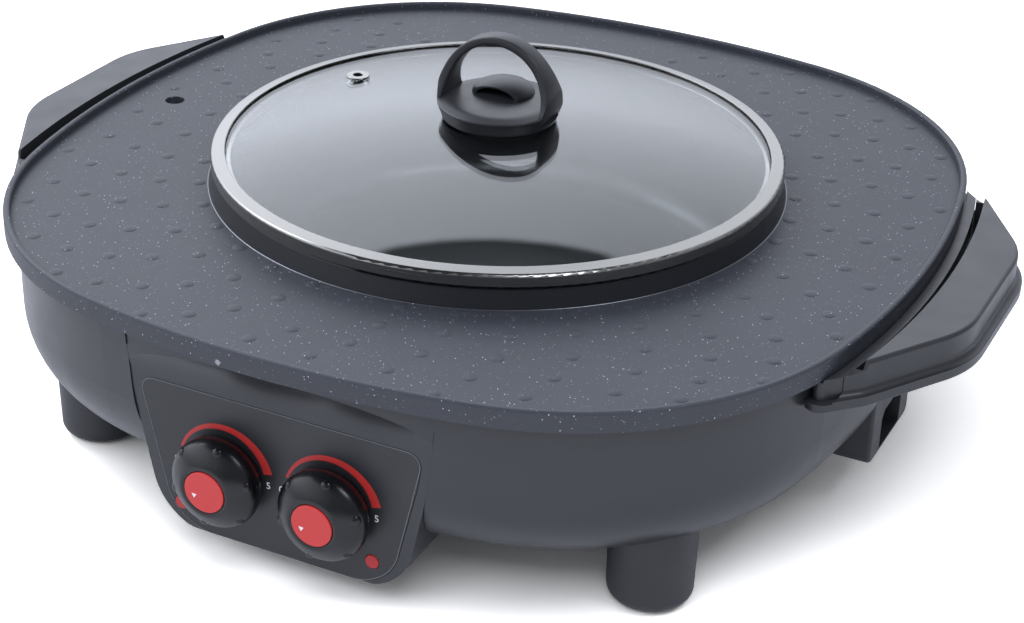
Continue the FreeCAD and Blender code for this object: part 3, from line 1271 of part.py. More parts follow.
def inlet_flange_y():
    """The plane of the inlet flange's inner face, just outside the bowl's rear wall."""
    return PAN_HALF - BOWL_INSET


def power_inlet():
    """Appliance inlet in the rear wall: a shrouded socket with a screwed flange."""
    y = inlet_flange_y()
    half_w = INLET_FLANGE_WIDTH / 2
    half_h = INLET_FLANGE_HEIGHT / 2
    flange = prism([
        (-half_w, INLET_Z - half_h, 4), (half_w, INLET_Z - half_h, 4),
        (half_w, INLET_Z + half_h, 4), (-half_w, INLET_Z + half_h, 4),
    ], on_front(y), V(0, INLET_FLANGE, 0))
    outer_w = INLET_WIDTH / 2 + INLET_WALL
    outer_h = INLET_HEIGHT / 2 + INLET_WALL
    shroud = block((-outer_w, y - INLET_DEPTH, INLET_Z - outer_h), (outer_w, y + 1, INLET_Z + outer_h))
    mouth = prism([
        (-INLET_WIDTH / 2, INLET_Z - INLET_HEIGHT / 2, 1.5),
        (INLET_WIDTH / 2, INLET_Z - INLET_HEIGHT / 2, 1.5),
        (INLET_WIDTH / 2, INLET_Z + INLET_HEIGHT / 2, 6),
        (-INLET_WIDTH / 2, INLET_Z + INLET_HEIGHT / 2, 6),
    ], on_front(y - INLET_DEPTH + INLET_WALL), V(0, 40, 0))
    body = fused([flange, shroud]).cut(mouth)
    for centre in pin_centres():
        body = body.cut(pin_block(centre, FIT_GAP / 2))
    for x in (-inlet_screw_x(), inlet_screw_x()):
        body = body.cut(rod(SCREW_RADIUS + SCREW_HOLE_GAP, V(x, y - 5, INLET_Z), V(x, y + 5, INLET_Z)))
    return body


def inlet_screw_x():
    return INLET_FLANGE_WIDTH / 2 - INLET_SCREW_INSET


def pin_centres():
    return [(-PIN_PITCH, INLET_Z - 2), (PIN_PITCH, INLET_Z - 2), (0, INLET_Z + 2)]


def pin_block(centre, grow):
    x, z = centre
    back = inlet_flange_y() - INLET_DEPTH - 6
    return block(
        (x - PIN_WIDTH / 2 - grow, back, z - PIN_HEIGHT / 2 - grow),
        (x + PIN_WIDTH / 2 + grow, back + 6 + INLET_WALL + PIN_LENGTH, z + PIN_HEIGHT / 2 + grow))


def inlet_pins():
    """Three contact pins of the inlet."""
    return group([pin_block(centre, 0) for centre in pin_centres()])


def inlet_screws():
    y = inlet_flange_y() + INLET_FLANGE
    places = (-inlet_screw_x(), inlet_screw_x())
    return group([screw(V(x, y - 9, INLET_Z), V(x, y, INLET_Z)) for x in places])


def terminal_block():
    """Ceramic terminal block inside the bowl, between the inlet and the reflector."""
    width, depth, height = TERMINAL_BLOCK_SIZE
    y = TERMINAL_BLOCK_Y
    low = BOWL_BOTTOM_Z + BOWL_WALL
    body = block((-width / 2, y, low), (width / 2, y + depth, low + height))
    for index in (-1, 0, 1):
        x = index * width / 3.2
        body = body.cut(block((x - 3.4, y + 4, low + height - 5), (x + 3.4, y + depth - 4, low + height + 1)))
    return body


def thermal_fuse():
    """Thermal cut-out clipped beside the reflector's dish."""
    x = SHIELD_MOUTH_RADIUS + 8
    z = SHIELD_FLANGE_Z - FUSE_RADIUS
    barrel = rod(FUSE_RADIUS, V(-FUSE_LENGTH / 2, x, z), V(FUSE_LENGTH / 2, x, z))
    return barrel.makeFillet(0.8, [edge for edge in barrel.Edges if edge.BoundBox.XLength < 0.01])


def build():
    export("griddle_pan", griddle_pan())
    export("pan_rest_pads", pan_rest_pads())

    export("lid_glass", lid_glass())
    export("lid_rim", lid_rim())
    export("lid_vent_grommet", lid_vent_grommet())
    export("lid_knob_base", lid_knob_base())
    export("lid_knob_arch", lid_knob_arch())
    export("lid_knob_hood", lid_knob_hood())
    export("lid_knob_washer", lid_knob_washer())
    export("lid_knob_screw", lid_knob_screw())

    export("base_bowl", base_bowl())
    export("bottom_cover", bottom_cover())
    export("bottom_cover_screws", bottom_cover_screws())
    for name, (x, y) in foot_places().items():
        export("foot_" + name, foot(x, y))
    export("foot_pads", foot_pads())
    export("foot_screws", foot_screws())

    export("control_housing", control_housing())
    export("fascia_panel", fascia_panel())
    export("indicator_lens_left", indicator_lens(LAMP_LEFT_X))
    export("indicator_lens_right", indicator_lens(LAMP_RIGHT_X))
    export("indicator_lamps", indicator_lamps())
    for name, x in knob_places().items():
        export("thermostat_" + name, thermostat(x))
        export("control_shaft_" + name, control_shaft(x))
        export("control_knob_" + name, control_knob(x))
        export("knob_cap_" + name, knob_cap(x))

    top = handle_top()
    lower = handle_lower()
    bracket = drip_cup_bracket()
    export("handle_top_right", top)
    export("handle_top_left", mirrored(top))
    export("handle_lower_right", lower)
    export("handle_lower_left", mirrored(lower))
    export("handle_screws", handle_screws())
    export("drip_cup_bracket_right", bracket)
    export("drip_cup_bracket_left", mirrored(bracket))
    export("drip_cup", drip_cup())

    export("heat_shield", heat_shield())
    export("shield_posts", shield_posts())
    export("shield_screws", shield_screws())
    export("grill_element", grill_element())
    export("pot_element", pot_element())
    export("pot_element_rests", pot_element_rests())
    export("element_clamps", element_clamps())

    export("power_inlet", power_inlet())
    export("inlet_pins", inlet_pins())
    export("inlet_screws", inlet_screws())
    export("terminal_block", terminal_block())
    export("thermal_fuse", thermal_fuse())


build()
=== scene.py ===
"""Looks for the electric hot pot: finishes, raised dots, knobs, printed marks, studio and camera.

Metres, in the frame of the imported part: +Z up, origin on the floor under the centre of the pot.
"""

import json
import math

import bpy
from mathutils import Matrix, Vector


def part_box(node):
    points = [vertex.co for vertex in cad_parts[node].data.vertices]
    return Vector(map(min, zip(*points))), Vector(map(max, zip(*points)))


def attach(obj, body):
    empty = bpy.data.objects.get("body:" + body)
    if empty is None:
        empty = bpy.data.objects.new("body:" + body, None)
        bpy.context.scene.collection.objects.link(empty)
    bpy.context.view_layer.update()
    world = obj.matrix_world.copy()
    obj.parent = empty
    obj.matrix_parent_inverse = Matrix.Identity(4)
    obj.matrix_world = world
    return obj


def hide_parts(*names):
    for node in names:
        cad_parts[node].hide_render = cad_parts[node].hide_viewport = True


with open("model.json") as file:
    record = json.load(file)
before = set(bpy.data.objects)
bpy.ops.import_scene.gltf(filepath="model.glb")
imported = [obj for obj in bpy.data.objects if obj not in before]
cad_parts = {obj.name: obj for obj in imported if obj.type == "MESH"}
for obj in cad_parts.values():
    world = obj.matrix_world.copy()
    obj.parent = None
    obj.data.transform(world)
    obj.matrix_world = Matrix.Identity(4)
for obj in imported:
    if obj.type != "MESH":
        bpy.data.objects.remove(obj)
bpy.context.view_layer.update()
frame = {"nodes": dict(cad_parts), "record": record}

MM = 0.001
scene = bpy.context.scene
scene.view_settings.view_transform = "Standard"

# Sizes of the part that the marks and raised dots follow, in millimetres
GRIDDLE_Z = 100.6
PAN_HALF = 190.0
PAN_SIDE_RADIUS = 406.0
PAN_CORNER_RADIUS = 130.0
RIM_WIDTH = 2.8
COLLAR_BASE_RADIUS = 122.5
DRAIN_X = -165.0
KNOB_SPACING = 46.6
KNOB_AXIS_Z = 42.7
CAP_FRONT_Y = -194.9
FASCIA_FRONT_Y = -179.2
FASCIA_CORNERS = ((-61.2, 75.4, 5.5), (-47.0, 13.1, 20.0), (47.0, 13.1, 20.0), (61.2, 75.4, 5.5))
FASCIA_TOP_ANGLE = 77.1
FASCIA_BOTTOM_ANGLE = 102.9
FASCIA_MIDDLE_Z = 45.0
FASCIA_EDGE_HIGHLIGHT_RADIUS = 0.16
BARE_RING_RADIUS = 0.32
BARE_RING_OFFSET = 0.25

# Raised dots: rings round the collar, each with the angle of its first dot on the right and left half
DOT_RADIUS = 2.9
DOT_HEIGHT = 0.34
DOT_SINK = 0.3
DOT_LIP = 0.06
DOT_STEPS = ((0.8, 0.6), (1.0, 0.3))
DOT_RIM_GAP = 1.5
DRAIN_CLEARANCE = 9
DOT_PITCH = 9.9
DOT_RINGS = (
    (126.6, 8.9, 222.9),
    (142.9, 7.9, 221.5),
    (159.6, 5.9, 218.7),
    (174.1, 2.7, 225.5),
    (186.9, -1.0, 221.4),
    (197.0, -4.6, 226.8),
)
DOTS_EACH_WAY = 9

# Control knob: belly, dome and nubs
KNOB_SEAT_Y = -180.1
KNOB_RADIUS = 18.5
KNOB_SEAT_RADIUS = 16.2
KNOB_BELLY_DEPTH = 6.4
KNOB_DOME_DEPTH = 14.3
KNOB_DOME_RADIUS = 11.2
KNOB_DOME_STEPS = 14
KNOB_DOME_CURVE = 2.3
KNOB_FLARE_STEPS = 6
# Rim round the cap's recess, each point as radius and depth
KNOB_FACE = [(10.4, 14.6), (9.5, 14.6), (8.9, 14.3), (8.7, 13.2), (0, 13.2)]
NUBS = 6
NUB_ANGLE = 17.0
NUB_RADIUS = 2.6
NUB_CENTRE_RADIUS = 15.7
NUB_CENTRE_DEPTH = 9.2

# Lid knob's carrying arch
ARCH_FOOT_Z = 134.8
ARCH_BASE_TAPER = 0.37
ARCH_THICKNESS = 3.7
ARCH_TOP_WIDTH = 8.6
ARCH_FOOT_WIDTH = 20.8
ARCH_FLARE_CURVE = 2.4
ARCH_EDGE = 0.9

# Printed marks on the fascia
ARC_OUTER = 21.2
ARC_START = 163
ARC_END = 12
ARC_THIN = 1.0
ARC_WIDE = 4.0
INK = 0.06
ZERO_X = -22.4
FIVE_X = 18.6
END_DIGIT_HEIGHT = 3.0
NAME_X = 0.5
NAME_Z = 20.4
NAME_HEIGHT = 3.6
POINTER_RADIUS = 1.25
POINTER_X = -4.3
POINTER_Z = -2.1
POINTER_TURN = 64


# Small helpers

def srgb(hex_colour, alpha=1.0):
    """A hex colour as the linear colour a shader wants."""
    channels = [int(hex_colour[i : i + 2], 16) / 255 for i in (1, 3, 5)]
    linear = [c / 12.92 if c <= 0.04045 else ((c + 0.055) / 1.055) ** 2.4 for c in channels]
    return (*linear, alpha)


def add(material, kind, inputs=None, **settings):
    """Adds a node. Inputs are numbers, colours or the sockets that feed them, by name or place."""
    made = material.node_tree.nodes.new(kind)
    for name, value in settings.items():
        setattr(made, name, value)
    for key, value in (inputs or {}).items():
        socket = made.inputs[key]
        if isinstance(value, bpy.types.NodeSocket):
            material.node_tree.links.new(value, socket)
        else:
            socket.default_value = value
    return made


def new_material(name):
    """An empty material with its output, and the shader that feeds it."""
    material = bpy.data.materials.new(name)
    material.use_nodes = True
    material.node_tree.nodes.clear()
    shader = add(material, "ShaderNodeBsdfPrincipled")
    add(material, "ShaderNodeOutputMaterial", {"Surface": shader.outputs[0]})
    return material, shader


def link(material, source, shader, name):
    material.node_tree.links.new(source, shader.inputs[name])


def place(material):
    """The point on the object, in metres."""
    return add(material, "ShaderNodeTexCoord").outputs["Object"]


def noise(material, grain, detail=2.0, roughness=0.5, stretch=(1, 1, 1)):
    """Cloudy noise whose blobs are about grain millimetres across."""
    mapped = add(material, "ShaderNodeMapping", {"Vector": place(material), "Scale": stretch})
    return add(
        material,
        "ShaderNodeTexNoise",
        {"Vector": mapped.outputs[0], "Scale": 1 / (grain * MM), "Detail": detail, "Roughness": roughness},
    ).outputs["Fac"]


def spread(material, value, low, high, from_low=0.3, from_high=0.7):
    """Turns a noise value into a range of numbers."""
    return add(
        material,
        "ShaderNodeMapRange",
        {"Value": value, "From Min": from_low, "From Max": from_high, "To Min": low, "To Max": high},
    ).outputs[0]


def blend(material, factor, first, second):
    """Mixes two colours, each a hex value or a socket."""
    inputs = {0: factor, 6: srgb(first) if isinstance(first, str) else first}
    inputs[7] = srgb(second) if isinstance(second, str) else second
    return add(material, "ShaderNodeMix", inputs, data_type="RGBA").outputs[2]


def bump(material, shader, height, distance, strength=1.0):
    """Relief of so many millimetres from a height between 0 and 1."""
    relief = add(
        material,
        "ShaderNodeBump",
        {"Height": height, "Distance": distance * MM, "Strength": strength},
    )
    link(material, relief.outputs[0], shader, "Normal")


def moulded(name, dark, light, rough, texture=0.0, grain=0.5, coat=0.0, specular=0.5):
    """An injection-moulded plastic: two close shades, uneven gloss and, if asked, an etched grain."""
    material, shader = new_material(name)
    shader.inputs["IOR"].default_value = 1.5
    shader.inputs["Coat Weight"].default_value = coat
    shader.inputs["Coat Roughness"].default_value = 0.08
    shader.inputs["Specular IOR Level"].default_value = specular
    cloud = noise(material, 38, 3)
    link(material, blend(material, cloud, dark, light), shader, "Base Color")
    link(material, spread(material, noise(material, 14, 4), rough * 0.88, rough * 1.12), shader, "Roughness")
    if texture:
        bump(material, shader, noise(material, grain, 2, 0.6), texture)
    return material


def metal(name, dark, light, rough, grain=(1, 1, 1), scratch=6.0, depth=0.004):
    """A bare metal: two close shades and fine lines drawn out by its making."""
    material, shader = new_material(name)
    shader.inputs["Metallic"].default_value = 1.0
    lines = noise(material, scratch, 3, 0.6, grain)
    link(material, blend(material, lines, dark, light), shader, "Base Color")
    link(material, spread(material, lines, rough * 0.8, rough * 1.25), shader, "Roughness")
    bump(material, shader, lines, depth)
    return material


# Materials

# Flakes in the coat: spacing and radius in millimetres, the share left out, and colour
SPECKS = (
    (2.1, 0.19, 0.52, "#DDE1E8"),
    (1.5, 0.13, 0.50, "#B4B8C0"),
    (3.6, 0.18, 0.60, "#B6A284"),
    (1.2, 0.17, 0.45, "#5A5C62"),
)
BAND_CHIP = (-18.0, -189.6, 97.6)


def granite_nonstick():
    """Sprayed granite-look non-stick coating on cast aluminium: charcoal, matte, with fine pale specks.

    The specks are mica flakes about 0.4 mm across, drawn a little larger so that they show. The
    collar and the well inside it have the same coat without flakes, smoother and glossier, and are
    painted near black as painted shade under the lid. One chip in the band's edge shows the bare casting.
    """
    material, shader = new_material("granite_nonstick_coating")
    shader.inputs["IOR"].default_value = 1.5
    where = place(material)
    base = blend(material, noise(material, 22, 4), "#303238", "#373A40")
    axes = add(material, "ShaderNodeSeparateXYZ", {"Vector": where})
    flat = add(material, "ShaderNodeCombineXYZ", {"X": axes.outputs[0], "Y": axes.outputs[1]})
    radius = add(material, "ShaderNodeVectorMath", {0: flat.outputs[0]}, operation="LENGTH").outputs["Value"]
    outside = add(
        material,
        "ShaderNodeMath",
        {0: radius, 1: (COLLAR_BASE_RADIUS + 0.3) * MM},
        operation="GREATER_THAN",
    ).outputs[0]
    coat = base
    for cell, reach, share, colour in SPECKS:
        cells = add(
            material,
            "ShaderNodeTexVoronoi",
            {"Vector": where, "Scale": 1 / (cell * MM), "Randomness": 1.0},
        )
        chance = add(material, "ShaderNodeSeparateColor", {"Color": cells.outputs["Color"]}).outputs[0]
        chosen = add(material, "ShaderNodeMath", {0: chance, 1: share}, operation="GREATER_THAN").outputs[0]
        distance = cells.outputs["Distance"]
        limits = {0: distance, 1: reach / cell}
        near = add(material, "ShaderNodeMath", limits, operation="LESS_THAN").outputs[0]
        speck = add(material, "ShaderNodeMath", {0: chosen, 1: near}, operation="MULTIPLY").outputs[0]
        speck = add(material, "ShaderNodeMath", {0: speck, 1: outside}, operation="MULTIPLY").outputs[0]
        coat = blend(material, speck, coat, colour)
    away = add(
        material,
        "ShaderNodeVectorMath",
        {0: where, 1: [value * MM for value in BAND_CHIP]},
        operation="DISTANCE",
    ).outputs["Value"]
    ragged = add(
        material,
        "ShaderNodeMath",
        {0: noise(material, 0.8, 3, 0.7), 1: 2.3 * MM},
        operation="MULTIPLY",
    ).outputs[0]
    chipped = add(material, "ShaderNodeMath", {0: away, 1: ragged}, operation="LESS_THAN").outputs[0]
    coat = blend(material, chipped, coat, "#8E9092")
    # Inside the collar's radius the coat is painted near black: painted shade under the lid.
    coat_with_painted_lid_shade = blend(material, outside, "#16181C", coat)
    link(material, coat_with_painted_lid_shade, shader, "Base Color")
    rough = add(material, "ShaderNodeMapRange", {"Value": outside, "To Min": 0.36, "To Max": 0.5}).outputs[0]
    link(material, rough, shader, "Roughness")
    grit = noise(material, 1.1, 2, 0.6)
    bump(material, shader, grit, 0.05)
    return material


def toughened_glass():
    """Clear toughened soda-lime glass, pressed into a dome: colourless with a faint green body."""
    material, shader = new_material("toughened_lid_glass")
    shader.inputs["Base Color"].default_value = srgb("#F4F8F7")
    shader.inputs["Roughness"].default_value = 0.0
    shader.inputs["IOR"].default_value = 1.52
    shader.inputs["Transmission Weight"].default_value = 1.0
    return material


def polished_stainless():
    """Stainless sheet rolled and buffed: bright, with fine lines running round the rim."""
    return metal("polished_stainless_rim", "#8E8D89", "#A09F9B", 0.22, (1, 1, 40), 30.0, 0.002)


finishes = {
    "pan_nonstick": granite_nonstick(),
    "clear_glass": toughened_glass(),
    "polished_steel": polished_stainless(),
    # Glass-filled phenolic from a polished tool: near black with a soft satin gloss
    "lid_knob_phenolic": moulded("satin_black_phenolic", "#202124", "#26272A", 0.36, 0.006, 0.8),
    "clear_silicone": moulded("translucent_silicone", "#8E8E8C", "#9C9C9A", 0.5),
    # Polypropylene with talc from a polished tool: charcoal with long soft reflections
    "bowl_moulding": moulded("satin_charcoal_polypropylene", "#2A2B2E", "#303134", 0.32, 0.012, 6.0),
    # Spark-etched polypropylene: even, slightly greyer and duller than the bowl
    "handle_moulding": moulded("etched_charcoal_polypropylene", "#26272A", "#2D2E31", 0.36, 0.012, 0.7),
    "foot_moulding": moulded("matte_charcoal_polypropylene", "#292A2D", "#303134", 0.46, 0.02, 0.7),
    "bracket_moulding": moulded("matte_bracket_polypropylene", "#2E2F32", "#37383B", 0.48, 0.02, 0.7),
    # Screen-printed polycarbonate plate: flat charcoal ink under a velvet face
    "fascia_film": moulded("velvet_printed_polycarbonate", "#232426", "#28292B", 0.4, 0.006, 0.4),
    # Glossy ABS straight from a mirror-polished tool: deep black, sharp highlights
    "control_knob_gloss": moulded("gloss_black_abs", "#0B0B0D", "#0F0F11", 0.27),
    # Pad-printed red ABS disc: flat warm red with a soft sheen
    "cap_red": moulded("satin_red_abs", "#BE2C2A", "#C83431", 0.35),
    "lens_red": moulded("frosted_red_polycarbonate", "#A81E1F", "#B82524", 0.3),
    "rubber_black": moulded("black_nitrile_rubber", "#161616", "#1D1D1D", 0.7, 0.02, 0.8),
    "silicone_pad": moulded("grey_silicone_pad", "#55565A", "#5F6064", 0.55),
    # Pressed aluminised steel: bright grey with a faint spangle
    "aluminised_sheet": metal("aluminised_pressed_steel", "#8F9092", "#A5A6A8", 0.38, (1, 1, 1), 9.0, 0.01),
    # Annealed element sheath: dark olive-grey oxide
    "element_sheath": metal("annealed_element_sheath", "#4A4642", "#5C5750", 0.45, (1, 1, 1), 4.0, 0.01),
    # Black stove enamel on pressed sheet: dull black with slight orange peel
    "cover_sheet": moulded("black_stoved_sheet", "#1B1C1D", "#222324", 0.5, 0.02, 1.2),
    "screw_steel": metal("zinc_plated_screw_steel", "#8E8F90", "#A9AAAB", 0.32, (1, 1, 1), 2.0),
    "shaft_steel": metal("turned_shaft_steel", "#97989A", "#B1B2B4", 0.25, (1, 8, 1), 2.0),
    # Glazed steatite case of the thermostats
    "thermostat_case": moulded("cream_steatite_case", "#CFC6B4", "#DAD2C2", 0.4),
    "lamp_glass": moulded("neon_lamp_sleeve", "#C98A72", "#D99A80", 0.2),
    "inlet_moulding": moulded("black_inlet_phenolic", "#141415", "#1A1A1B", 0.4, 0.01, 0.8),
    "contact_brass": metal("nickelled_brass_contact", "#B9A878", "#CDBE92", 0.28),
    "ceramic_block": moulded("white_steatite_block", "#DEDCD4", "#E8E6E0", 0.45),
    # Heat-resistant nylon: dark, faintly mottled
    "cup_moulding": moulded("dark_cup_nylon", "#27282A", "#2E2F31", 0.42, 0.015, 0.9),
}


for subpart in frame["record"]["subparts"]:
    thing = frame["nodes"][subpart["node"]]
    finish_of_part = finishes[subpart["material_slot"]]
    for index in range(len(thing.material_slots)):
        thing.material_slots[index].material = finish_of_part


def deselect():
    if bpy.context.object and bpy.context.object.mode != "OBJECT":
        bpy.ops.object.mode_set(mode="OBJECT")
    bpy.ops.object.select_all(action="DESELECT")


def settle(piece, name, material, body):
    """Puts a finished piece's place into its mesh and gives it its name, finish and body."""
    deselect()
    piece.select_set(True)
    bpy.context.view_layer.objects.active = piece
    bpy.ops.object.transform_apply(location=True, rotation=True, scale=True)
    piece.name = name
    piece.data.name = name
    piece.data.materials.clear()
    piece.data.materials.append(material)
    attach(piece, body)
    return piece


def begin_edit(piece, kind="FACE"):
    """Goes into edit mode on one piece with nothing selected."""
    deselect()
    piece.select_set(True)
    bpy.context.view_layer.objects.active = piece
    bpy.ops.object.mode_set(mode="EDIT")
    bpy.ops.mesh.select_mode(type=kind)
    bpy.ops.mesh.select_all(action="DESELECT")


def pick_faces(piece, wanted):
    """In edit mode, selects the faces whose centre and normal are wanted."""
    bpy.ops.mesh.select_mode(type="FACE")
    bpy.ops.mesh.select_all(action="DESELECT")
    bpy.ops.object.mode_set(mode="OBJECT")
    for face in piece.data.polygons:
        face.select = wanted(face.center, face.normal)
    bpy.ops.object.mode_set(mode="EDIT")


def pick_points(piece, wanted):
    """In edit mode, selects the corners whose place is wanted."""
    bpy.ops.mesh.select_mode(type="VERT")
    bpy.ops.mesh.select_all(action="DESELECT")
    bpy.ops.object.mode_set(mode="OBJECT")
    for point in piece.data.vertices:
        point.select = wanted(point.co)
    bpy.ops.object.mode_set(mode="EDIT")


def smooth(piece, degrees=40):
    """Shades a piece smooth where its faces meet at less than so many degrees."""
    deselect()
    piece.select_set(True)
    bpy.context.view_layer.objects.active = piece
    bpy.ops.object.shade_smooth_by_angle(angle=math.radians(degrees))


# Griddle: raised dots and the bare ring at the collar's foot

def inside_rim(x, y, margin):
    """Whether a point in millimetres is on the griddle, at least a margin inside its rim."""
    half = PAN_HALF - RIM_WIDTH - margin
    side = PAN_SIDE_RADIUS - RIM_WIDTH - margin
    corner = PAN_CORNER_RADIUS - RIM_WIDTH - margin
    if math.hypot(abs(x) + side - half, y) > side or math.hypot(x, abs(y) + side - half) > side:
        return False
    reach = (side - half) / (side - corner)
    lean = (reach + math.sqrt(2 - reach * reach)) / 2
    centre = (side - corner) * lean - (side - half)
    if min(abs(x), abs(y)) > centre:
        return math.hypot(abs(x) - centre, abs(y) - centre) < corner
    return True


def dot_places():
    """The dots' centres in millimetres, ring by ring, on the right half and then the left."""
    places = []
    for radius, right_angle, left_angle in DOT_RINGS:
        for first in (right_angle, left_angle):
            for step in range(-DOTS_EACH_WAY, DOTS_EACH_WAY):
                angle = math.radians(first + step * DOT_PITCH)
                x = radius * math.cos(angle)
                y = radius * math.sin(angle)
                on_its_half = x > 0 if first == right_angle else x < 0
                clear_of_drain = math.hypot(x - DRAIN_X, y) > DRAIN_CLEARANCE
                if on_its_half and clear_of_drain and inside_rim(x, y, DOT_RADIUS + DOT_RIM_GAP):
                    places.append((x, y))
    return places


def griddle_dots():
    """Low round dots cast into the griddle, which let fat run under the food."""
    places = dot_places()
    x, y = places[0]
    deselect()
    bpy.ops.mesh.primitive_cylinder_add(
        vertices=16,
        radius=DOT_RADIUS * MM,
        depth=(DOT_SINK + DOT_LIP) * MM,
        location=(x * MM, y * MM, (GRIDDLE_Z + (DOT_LIP - DOT_SINK) / 2) * MM),
    )
    first = bpy.context.object
    begin_edit(first)
    pick_faces(first, lambda centre, normal: normal.z > 0.9)
    for inset, rise in DOT_STEPS:
        bpy.ops.mesh.inset(thickness=inset * MM)
        bpy.ops.transform.translate(value=(0, 0, DOT_HEIGHT * rise * MM))
    bpy.ops.object.mode_set(mode="OBJECT")
    copies = [first]
    for other_x, other_y in places[1:]:
        copy = first.copy()
        copy.data = first.data.copy()
        scene.collection.objects.link(copy)
        copy.location.x = other_x * MM
        copy.location.y = other_y * MM
        copies.append(copy)
    deselect()
    for copy in copies:
        copy.select_set(True)
    bpy.context.view_layer.objects.active = first
    bpy.ops.object.join()
    smooth(first, 50)
    return settle(first, "griddle_dots", finishes["pan_nonstick"], "pan")


def collar_bare_ring():
    """Narrow ring at the collar's foot where the coat is cut through to bright aluminium."""
    deselect()
    bpy.ops.mesh.primitive_circle_add(
        vertices=8,
        radius=BARE_RING_RADIUS * MM,
        fill_type="NOTHING",
        location=((COLLAR_BASE_RADIUS + BARE_RING_OFFSET) * MM, 0, GRIDDLE_Z * MM),
        rotation=(math.pi / 2, 0, 0),
    )
    ring = bpy.context.object
    begin_edit(ring, "EDGE")
    bpy.ops.mesh.select_all(action="SELECT")
    bpy.ops.transform.resize(value=(1, 1, 0.7))
    bpy.ops.object.mode_set(mode="OBJECT")
    bpy.ops.object.transform_apply(location=True, rotation=True, scale=True)
    begin_edit(ring, "EDGE")
    bpy.ops.mesh.select_all(action="SELECT")
    bpy.ops.mesh.spin(steps=180, angle=2 * math.pi, center=(0, 0, 0), axis=(0, 0, 1))
    bpy.ops.mesh.select_all(action="SELECT")
    bpy.ops.mesh.remove_doubles(threshold=0.01 * MM)
    bpy.ops.mesh.normals_make_consistent(inside=False)
    bpy.ops.object.mode_set(mode="OBJECT")
    smooth(ring, 60)
    return settle(ring, "collar_bare_ring", bare_aluminium, "pan")


# Fascia: printed arcs and numbers, a painted highlight round its edge, and the caps' pointers

def dial_arc(name, knob_x):
    """Printed red band over a knob, widening clockwise from its off end to its full end."""
    deselect()
    bpy.ops.mesh.primitive_circle_add(
        vertices=120,
        radius=ARC_OUTER * MM,
        fill_type="NOTHING",
        location=(knob_x * MM, (FASCIA_FRONT_Y - INK) * MM, KNOB_AXIS_Z * MM),
        rotation=(math.pi / 2, 0, 0),
    )
    arc = bpy.context.object
    bpy.ops.object.transform_apply(location=True, rotation=True, scale=True)

    def angle_of(point):
        return math.degrees(math.atan2(point.z - KNOB_AXIS_Z * MM, point.x - knob_x * MM))

    begin_edit(arc, "VERT")
    pick_points(arc, lambda point: not ARC_END <= angle_of(point) <= ARC_START)
    bpy.ops.mesh.delete(type="VERT")
    bpy.ops.mesh.select_all(action="SELECT")
    bpy.ops.mesh.extrude_region()
    bpy.ops.object.mode_set(mode="OBJECT")
    for point in arc.data.vertices:
        if point.select:
            share = (ARC_START - angle_of(point.co)) / (ARC_START - ARC_END)
            inner = 1 - (ARC_THIN + (ARC_WIDE - ARC_THIN) * share) / ARC_OUTER
            point.co.x = knob_x * MM + (point.co.x - knob_x * MM) * inner
            point.co.z = KNOB_AXIS_Z * MM + (point.co.z - KNOB_AXIS_Z * MM) * inner
    ink = arc.modifiers.new("ink", "SOLIDIFY")
    ink.thickness = INK * MM
    ink.offset = 0
    bpy.ops.object.modifier_apply(modifier="ink")
    begin_edit(arc)
    bpy.ops.mesh.select_all(action="SELECT")
    bpy.ops.mesh.normals_make_consistent(inside=False)
    bpy.ops.object.mode_set(mode="OBJECT")
    return settle(arc, name, red_ink, "base")


def dial_number(name, digit, x, z, height):
    """A printed white digit on the fascia."""
    deselect()
    bpy.ops.object.text_add(
        location=(x * MM, (FASCIA_FRONT_Y - INK / 2) * MM, z * MM), rotation=(math.pi / 2, 0, 0))
    number = bpy.context.object
    number.data.body = digit
    number.data.size = height * 1.4 * MM
    number.data.align_x = "CENTER"
    number.data.align_y = "CENTER"
    number.data.extrude = INK / 2 * MM
    number.data.resolution_u = 4
    bpy.ops.object.convert(target="MESH")
    return settle(bpy.context.object, name, white_ink, "base")


def cap_pointer(name, knob_x, body):
    """Small white triangle printed on a red cap, pointing outwards at its set mark."""
    deselect()
    bpy.ops.mesh.primitive_cylinder_add(
        vertices=3,
        radius=POINTER_RADIUS * MM,
        depth=INK * 2 * MM,
        location=((knob_x + POINTER_X) * MM, CAP_FRONT_Y * MM, (KNOB_AXIS_Z + POINTER_Z) * MM),
        rotation=(math.pi / 2, math.radians(POINTER_TURN), 0),
    )
    pointer = bpy.context.object
    begin_edit(pointer, "EDGE")
    bpy.ops.mesh.select_all(action="SELECT")
    bpy.ops.mesh.bevel(offset=0.02 * MM, segments=1)
    bpy.ops.object.mode_set(mode="OBJECT")
    return settle(pointer, name, white_ink, body)


